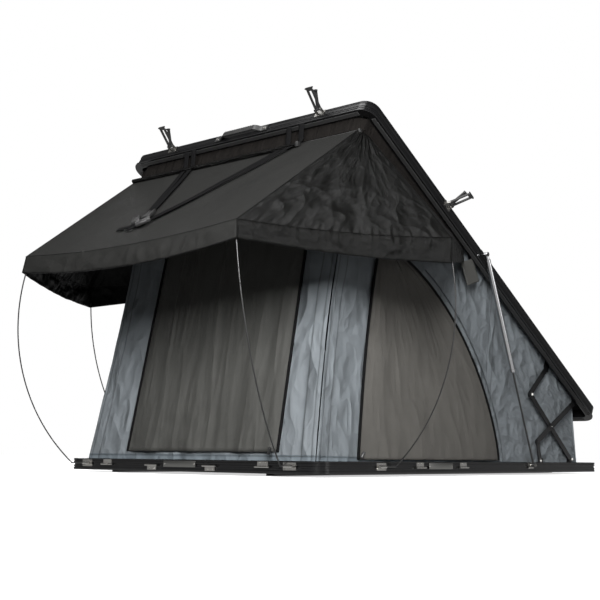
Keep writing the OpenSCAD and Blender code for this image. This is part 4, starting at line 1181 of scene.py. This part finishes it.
class TENT_OT_mattress(bpy.types.Operator):
    """Stuffs the mattress on the floor board"""
    bl_idname = "tent.mattress"
    bl_label = "Mattress"

    def execute(self, context):
        low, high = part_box("mattress")
        size = high - low
        ob = block("mattress_pad", tuple(size * 0.985), 0.012, tuple((low + high) / 2))
        apply_modifier(ob, "REMESH", mode="VOXEL", voxel_size=0.014)
        stuffed(ob)
        for vert in ob.data.vertices:
            vert.co = Vector([min(max(vert.co[i], low[i]), high[i]) for i in range(3)])
        ob.data.update()
        active(ob)
        bpy.ops.object.mode_set(mode="EDIT")
        bpy.ops.mesh.select_all(action="SELECT")
        bpy.ops.uv.cube_project(cube_size=1.0)
        bpy.ops.object.mode_set(mode="OBJECT")
        bpy.ops.object.shade_smooth()
        paint(ob, finish("foam"))
        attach(ob, "base")
        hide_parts("mattress")
        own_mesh(ob)
        return {"FINISHED"}


# Small hard pieces

# Plates' thickness, height and lift off the rails, and the toggles' radius and length
PLATE_T = 0.0016
PLATE_Z = 0.036
PLATE_LIFT = 0.0009
TOGGLE_R = 0.006
TOGGLE_L = 0.024


def dome(name, radius, material, rise=0.5):
    """A round-headed rivet or pin cap that looks along Z."""
    deselect()
    bpy.ops.mesh.primitive_uv_sphere_add(segments=20, ring_count=10, radius=radius)
    ob = newest(name)
    bpy.ops.transform.resize(value=(1, 1, rise))
    bpy.ops.object.transform_apply(location=True, rotation=True, scale=True)
    bpy.ops.object.shade_smooth()
    paint(ob, material)
    return ob


class TENT_OT_trims(bpy.types.Operator):
    """Adds bare nameplates and their rivets"""
    bl_idname = "tent.trims"
    bl_label = "Plates and rivets"

    def execute(self, context):
        shell = context.scene.tent_shell
        trim = context.scene.tent_trim
        plate = block("plate", (trim.plate_l, trim.plate_h, PLATE_T), 0.0005)
        paint(plate, finish("plate_grey"))
        spots = [
            facing((-0.006, -shell.half_l - PLATE_LIFT, PLATE_Z), (0, -1, 0)),
            facing((shell.half_w + PLATE_LIFT, -0.335, PLATE_Z), (1, 0, 0)),
        ]
        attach(repeated(plate, "bare_plates", spots), "base")
        heads = [
            spot @ Matrix.Translation((end * (trim.plate_l / 2 - 0.007), 0, PLATE_LIFT))
            for spot in spots for end in (-1, 1)]
        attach(repeated(dome("rivet", trim.rivet_r, finish("steel")), "plate_rivets", heads), "base")
        return {"FINISHED"}


class TENT_OT_pins(bpy.types.Operator):
    """Caps the pins of the links"""
    bl_idname = "tent.pins"
    bl_label = "Pin caps"

    def execute(self, context):
        trim = context.scene.tent_trim
        joints = {joint["name"]: joint for joint in frame["record"]["behaviour"]["joints"]}
        places = []
        for name, side in SIDES:
            for arm in ("long_arm_", "cross_arm_", "upper_link_", "lower_link_"):
                # The upper link's pin comes out through the long arm
                over = (arm, "long_arm_") if arm == "upper_link_" else (arm,)
                x = max(abs(corner.x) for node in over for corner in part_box(node + name))
                _, y, z = joints[arm + name]["pos_m"]
                places.append((arm + "cap_" + name, facing((side * x, y, z), (side, 0, 0))))
        for cap in copied(dome("cap", trim.cap_r, finish("zinc")), places):
            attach(cap, cap.name.replace("_cap", ""))
        return {"FINISHED"}


def tab(side, u, v):
    """A loose cloth tab below the lid's side rail."""
    shell, _, a = props()
    top = on_lid(shell.half_w - shell.rail_w - 0.006, -shell.lid_l + a.side_l, -0.06)
    at = top + Vector((0, mix(0.0, 0.094, u) + 0.028 * v, mix(0.0, 0.030, u) - 0.094 * v))
    at.x += 0.004 + 0.012 * v + 0.004 * bump(u)
    return on_side(side, at)


class TENT_OT_tabs(bpy.types.Operator):
    """Hangs the cloth tabs behind the awning and the toggles at the doors' feet"""
    bl_idname = "tent.tabs"
    bl_label = "Tabs and toggles"

    def execute(self, context):
        _, cloth, a = props()
        for name, side in SIDES:
            place = functools.partial(tab, side)
            ob = cloth_sheet("side_tab_" + name, 16, 16, place, a.thick, finish("door_front"))
            hang(ob, "lid")
            tucked(ob)
        deselect()
        bpy.ops.mesh.primitive_cylinder_add(vertices=20, radius=TOGGLE_R, depth=TOGGLE_L)
        toggle = newest("toggle")
        round_off(toggle, 0.0015)
        paint(toggle, finish("plastic_black"))
        spots = [
            facing((0.401, cloth.front_y - 0.024, 0.085), (0.5, -0.2, 1)),
            facing((wall_x() + 0.024, -0.785, 0.074), (0.2, 0.6, 1)),
        ]
        pressed(repeated(toggle, "door_toggles", spots))
        return {"FINISHED"}


# Stage

def white_floor():
    """Floor that is white to the camera, grey under the cloth, and dimmer where hard pieces mirror it."""
    look = bpy.context.scene.tent_stage
    n = Nodes("floor_white", (0.9, 0.9, 0.9), 0.9)
    n.shade("Specular IOR Level", 0.0)
    path = n.add("ShaderNodeLightPath")
    place = n.add("ShaderNodeTexCoord").outputs["Object"]
    far = n.add("ShaderNodeVectorMath", **{"0": place})
    far.operation = "LENGTH"
    glow_at = n.add("ShaderNodeMapRange", Value=far.outputs["Value"], From_Min=1.6, From_Max=3.0)
    glow = n.add("ShaderNodeEmission", Color=(1, 1, 1, 1))
    n.give(glow, "Strength", n.math("ADD", 0.62, n.math("MULTIPLY", glow_at.outputs[0], 0.40)))
    bright = n.add("ShaderNodeAddShader", **{"0": n.shader.outputs[0], "1": glow.outputs[0]})
    plain = n.add("ShaderNodeBsdfDiffuse", Color=(look.ground, look.ground, look.ground, 1))
    seen = n.add("ShaderNodeEmission", Color=(1, 1, 1, 1), Strength=look.floor_shine)
    dull = n.add("ShaderNodeMixShader", **{
        "0": path.outputs["Is Glossy Ray"], "1": plain.outputs[0], "2": seen.outputs[0]})
    choice = n.add("ShaderNodeMixShader", **{
        "0": path.outputs["Is Camera Ray"], "1": dull.outputs[0], "2": bright.outputs[0]})
    n.give(n.tree.nodes["Material Output"], "Surface", choice.outputs[0])
    return n.material


def studio():
    """Even light: white to the camera, dim on the cloth, and brighter in what hard pieces mirror."""
    look = bpy.context.scene.tent_stage
    world = bpy.data.worlds.new("studio")
    world.use_nodes = True
    tree = world.node_tree
    back = tree.nodes["Background"]
    path = tree.nodes.new("ShaderNodeLightPath")
    mirrored = tree.nodes.new("ShaderNodeMix")
    mirrored.inputs[2].default_value = look.world
    mirrored.inputs[3].default_value = look.shine
    tree.links.new(path.outputs["Is Glossy Ray"], mirrored.inputs[0])
    level = tree.nodes.new("ShaderNodeMix")
    level.inputs[3].default_value = 1.0
    tree.links.new(mirrored.outputs[0], level.inputs[2])
    tree.links.new(path.outputs["Is Camera Ray"], level.inputs[0])
    tree.links.new(level.outputs[0], back.inputs["Strength"])
    back.inputs["Color"].default_value = (1, 1, 1, 1)
    return world


# The lamps' names, places and sizes, and the point that they all look at
LAMPS = (
    ("key", (2.6, -3.4, 1.85), 1.6), ("fill", (5.0, 1.0, 0.8), 2.2),
    ("top", (-0.6, -2.4, 4.2), 2.6), ("back", (-4.2, 3.0, 2.2), 3.0))
LAMPS_AIM = Vector((0, -0.3, 0.6))


def light(name, place, size):
    """A square lamp with the power that the stage gives under its name."""
    deselect()
    bpy.ops.object.light_add(type="AREA", location=place)
    lamp = newest(name)
    lamp.data.energy = getattr(bpy.context.scene.tent_stage, name)
    lamp.data.size = size
    lamp.rotation_euler = (LAMPS_AIM - Vector(place)).to_track_quat("-Z", "Y").to_euler()


def camera():
    """The camera, where the photograph was taken from."""
    look = bpy.context.scene.tent_stage
    deselect()
    bpy.ops.object.camera_add()
    ob = newest("camera")
    level = math.cos(look.pitch)
    ahead = Vector((-math.sin(look.yaw) * level, math.cos(look.yaw) * level, math.sin(look.pitch)))
    right = ahead.cross(Vector((0, 0, 1))).normalized()
    place = Matrix.Translation((look.camera_x, look.camera_y, look.camera_z))
    turn = Matrix((right, right.cross(ahead), -ahead)).transposed().to_4x4()
    ob.matrix_world = place @ turn @ Matrix.Rotation(look.roll, 4, "Z")
    ob.data.lens = look.lens
    ob.data.sensor_width = 36.0
    return ob


class TENT_OT_stage(bpy.types.Operator):
    """Sets up the floor, the soft light and the camera"""
    bl_idname = "tent.stage"
    bl_label = "Stage"

    def execute(self, context):
        scene = context.scene
        deselect()
        bpy.ops.mesh.primitive_plane_add(size=60.0, location=(0, 0, -0.002))
        floor = newest("floor")
        paint(floor, white_floor())
        scene.world = studio()
        for lamp in LAMPS:
            light(*lamp)
        scene.camera = camera()
        scene.view_settings.view_transform = "Standard"
        return {"FINISHED"}


STEPS = (
    TENT_OT_finishes, TENT_OT_walls, TENT_OT_doors, TENT_OT_awning, TENT_OT_header, TENT_OT_straps,
    TENT_OT_mattress, TENT_OT_trims, TENT_OT_pins, TENT_OT_tabs, TENT_OT_stage,
)


class TENT_PT_panel(bpy.types.Panel):
    """Lists the tent's steps in the sidebar"""
    bl_idname = "TENT_PT_panel"
    bl_label = "Roof top tent"
    bl_space_type = "VIEW_3D"
    bl_region_type = "UI"
    bl_category = "Tent"

    def draw(self, context):
        for step in STEPS:
            self.layout.operator(step.bl_idname)


GROUPS = {
    "tent_shell": TentShell, "tent_cloth": TentCloth, "tent_awning": TentAwning,
    "tent_colours": TentColours, "tent_trim": TentTrim, "tent_stage": TentStage,
}


def register():
    for name, group in GROUPS.items():
        bpy.utils.register_class(group)
        setattr(bpy.types.Scene, name, bpy.props.PointerProperty(type=group))
    for step in STEPS:
        bpy.utils.register_class(step)
    bpy.utils.register_class(TENT_PT_panel)


def unregister():
    bpy.utils.unregister_class(TENT_PT_panel)
    for step in reversed(STEPS):
        bpy.utils.unregister_class(step)
    for name, group in GROUPS.items():
        delattr(bpy.types.Scene, name)
        bpy.utils.unregister_class(group)


def main():
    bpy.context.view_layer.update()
    register()
    bpy.ops.tent.finishes()
    bpy.ops.tent.walls()
    bpy.ops.tent.doors()
    bpy.ops.tent.awning()
    bpy.ops.tent.header()
    bpy.ops.tent.straps()
    bpy.ops.tent.mattress()
    bpy.ops.tent.trims()
    bpy.ops.tent.pins()
    bpy.ops.tent.tabs()
    bpy.ops.tent.stage()


if __name__ == "__main__":
    main()
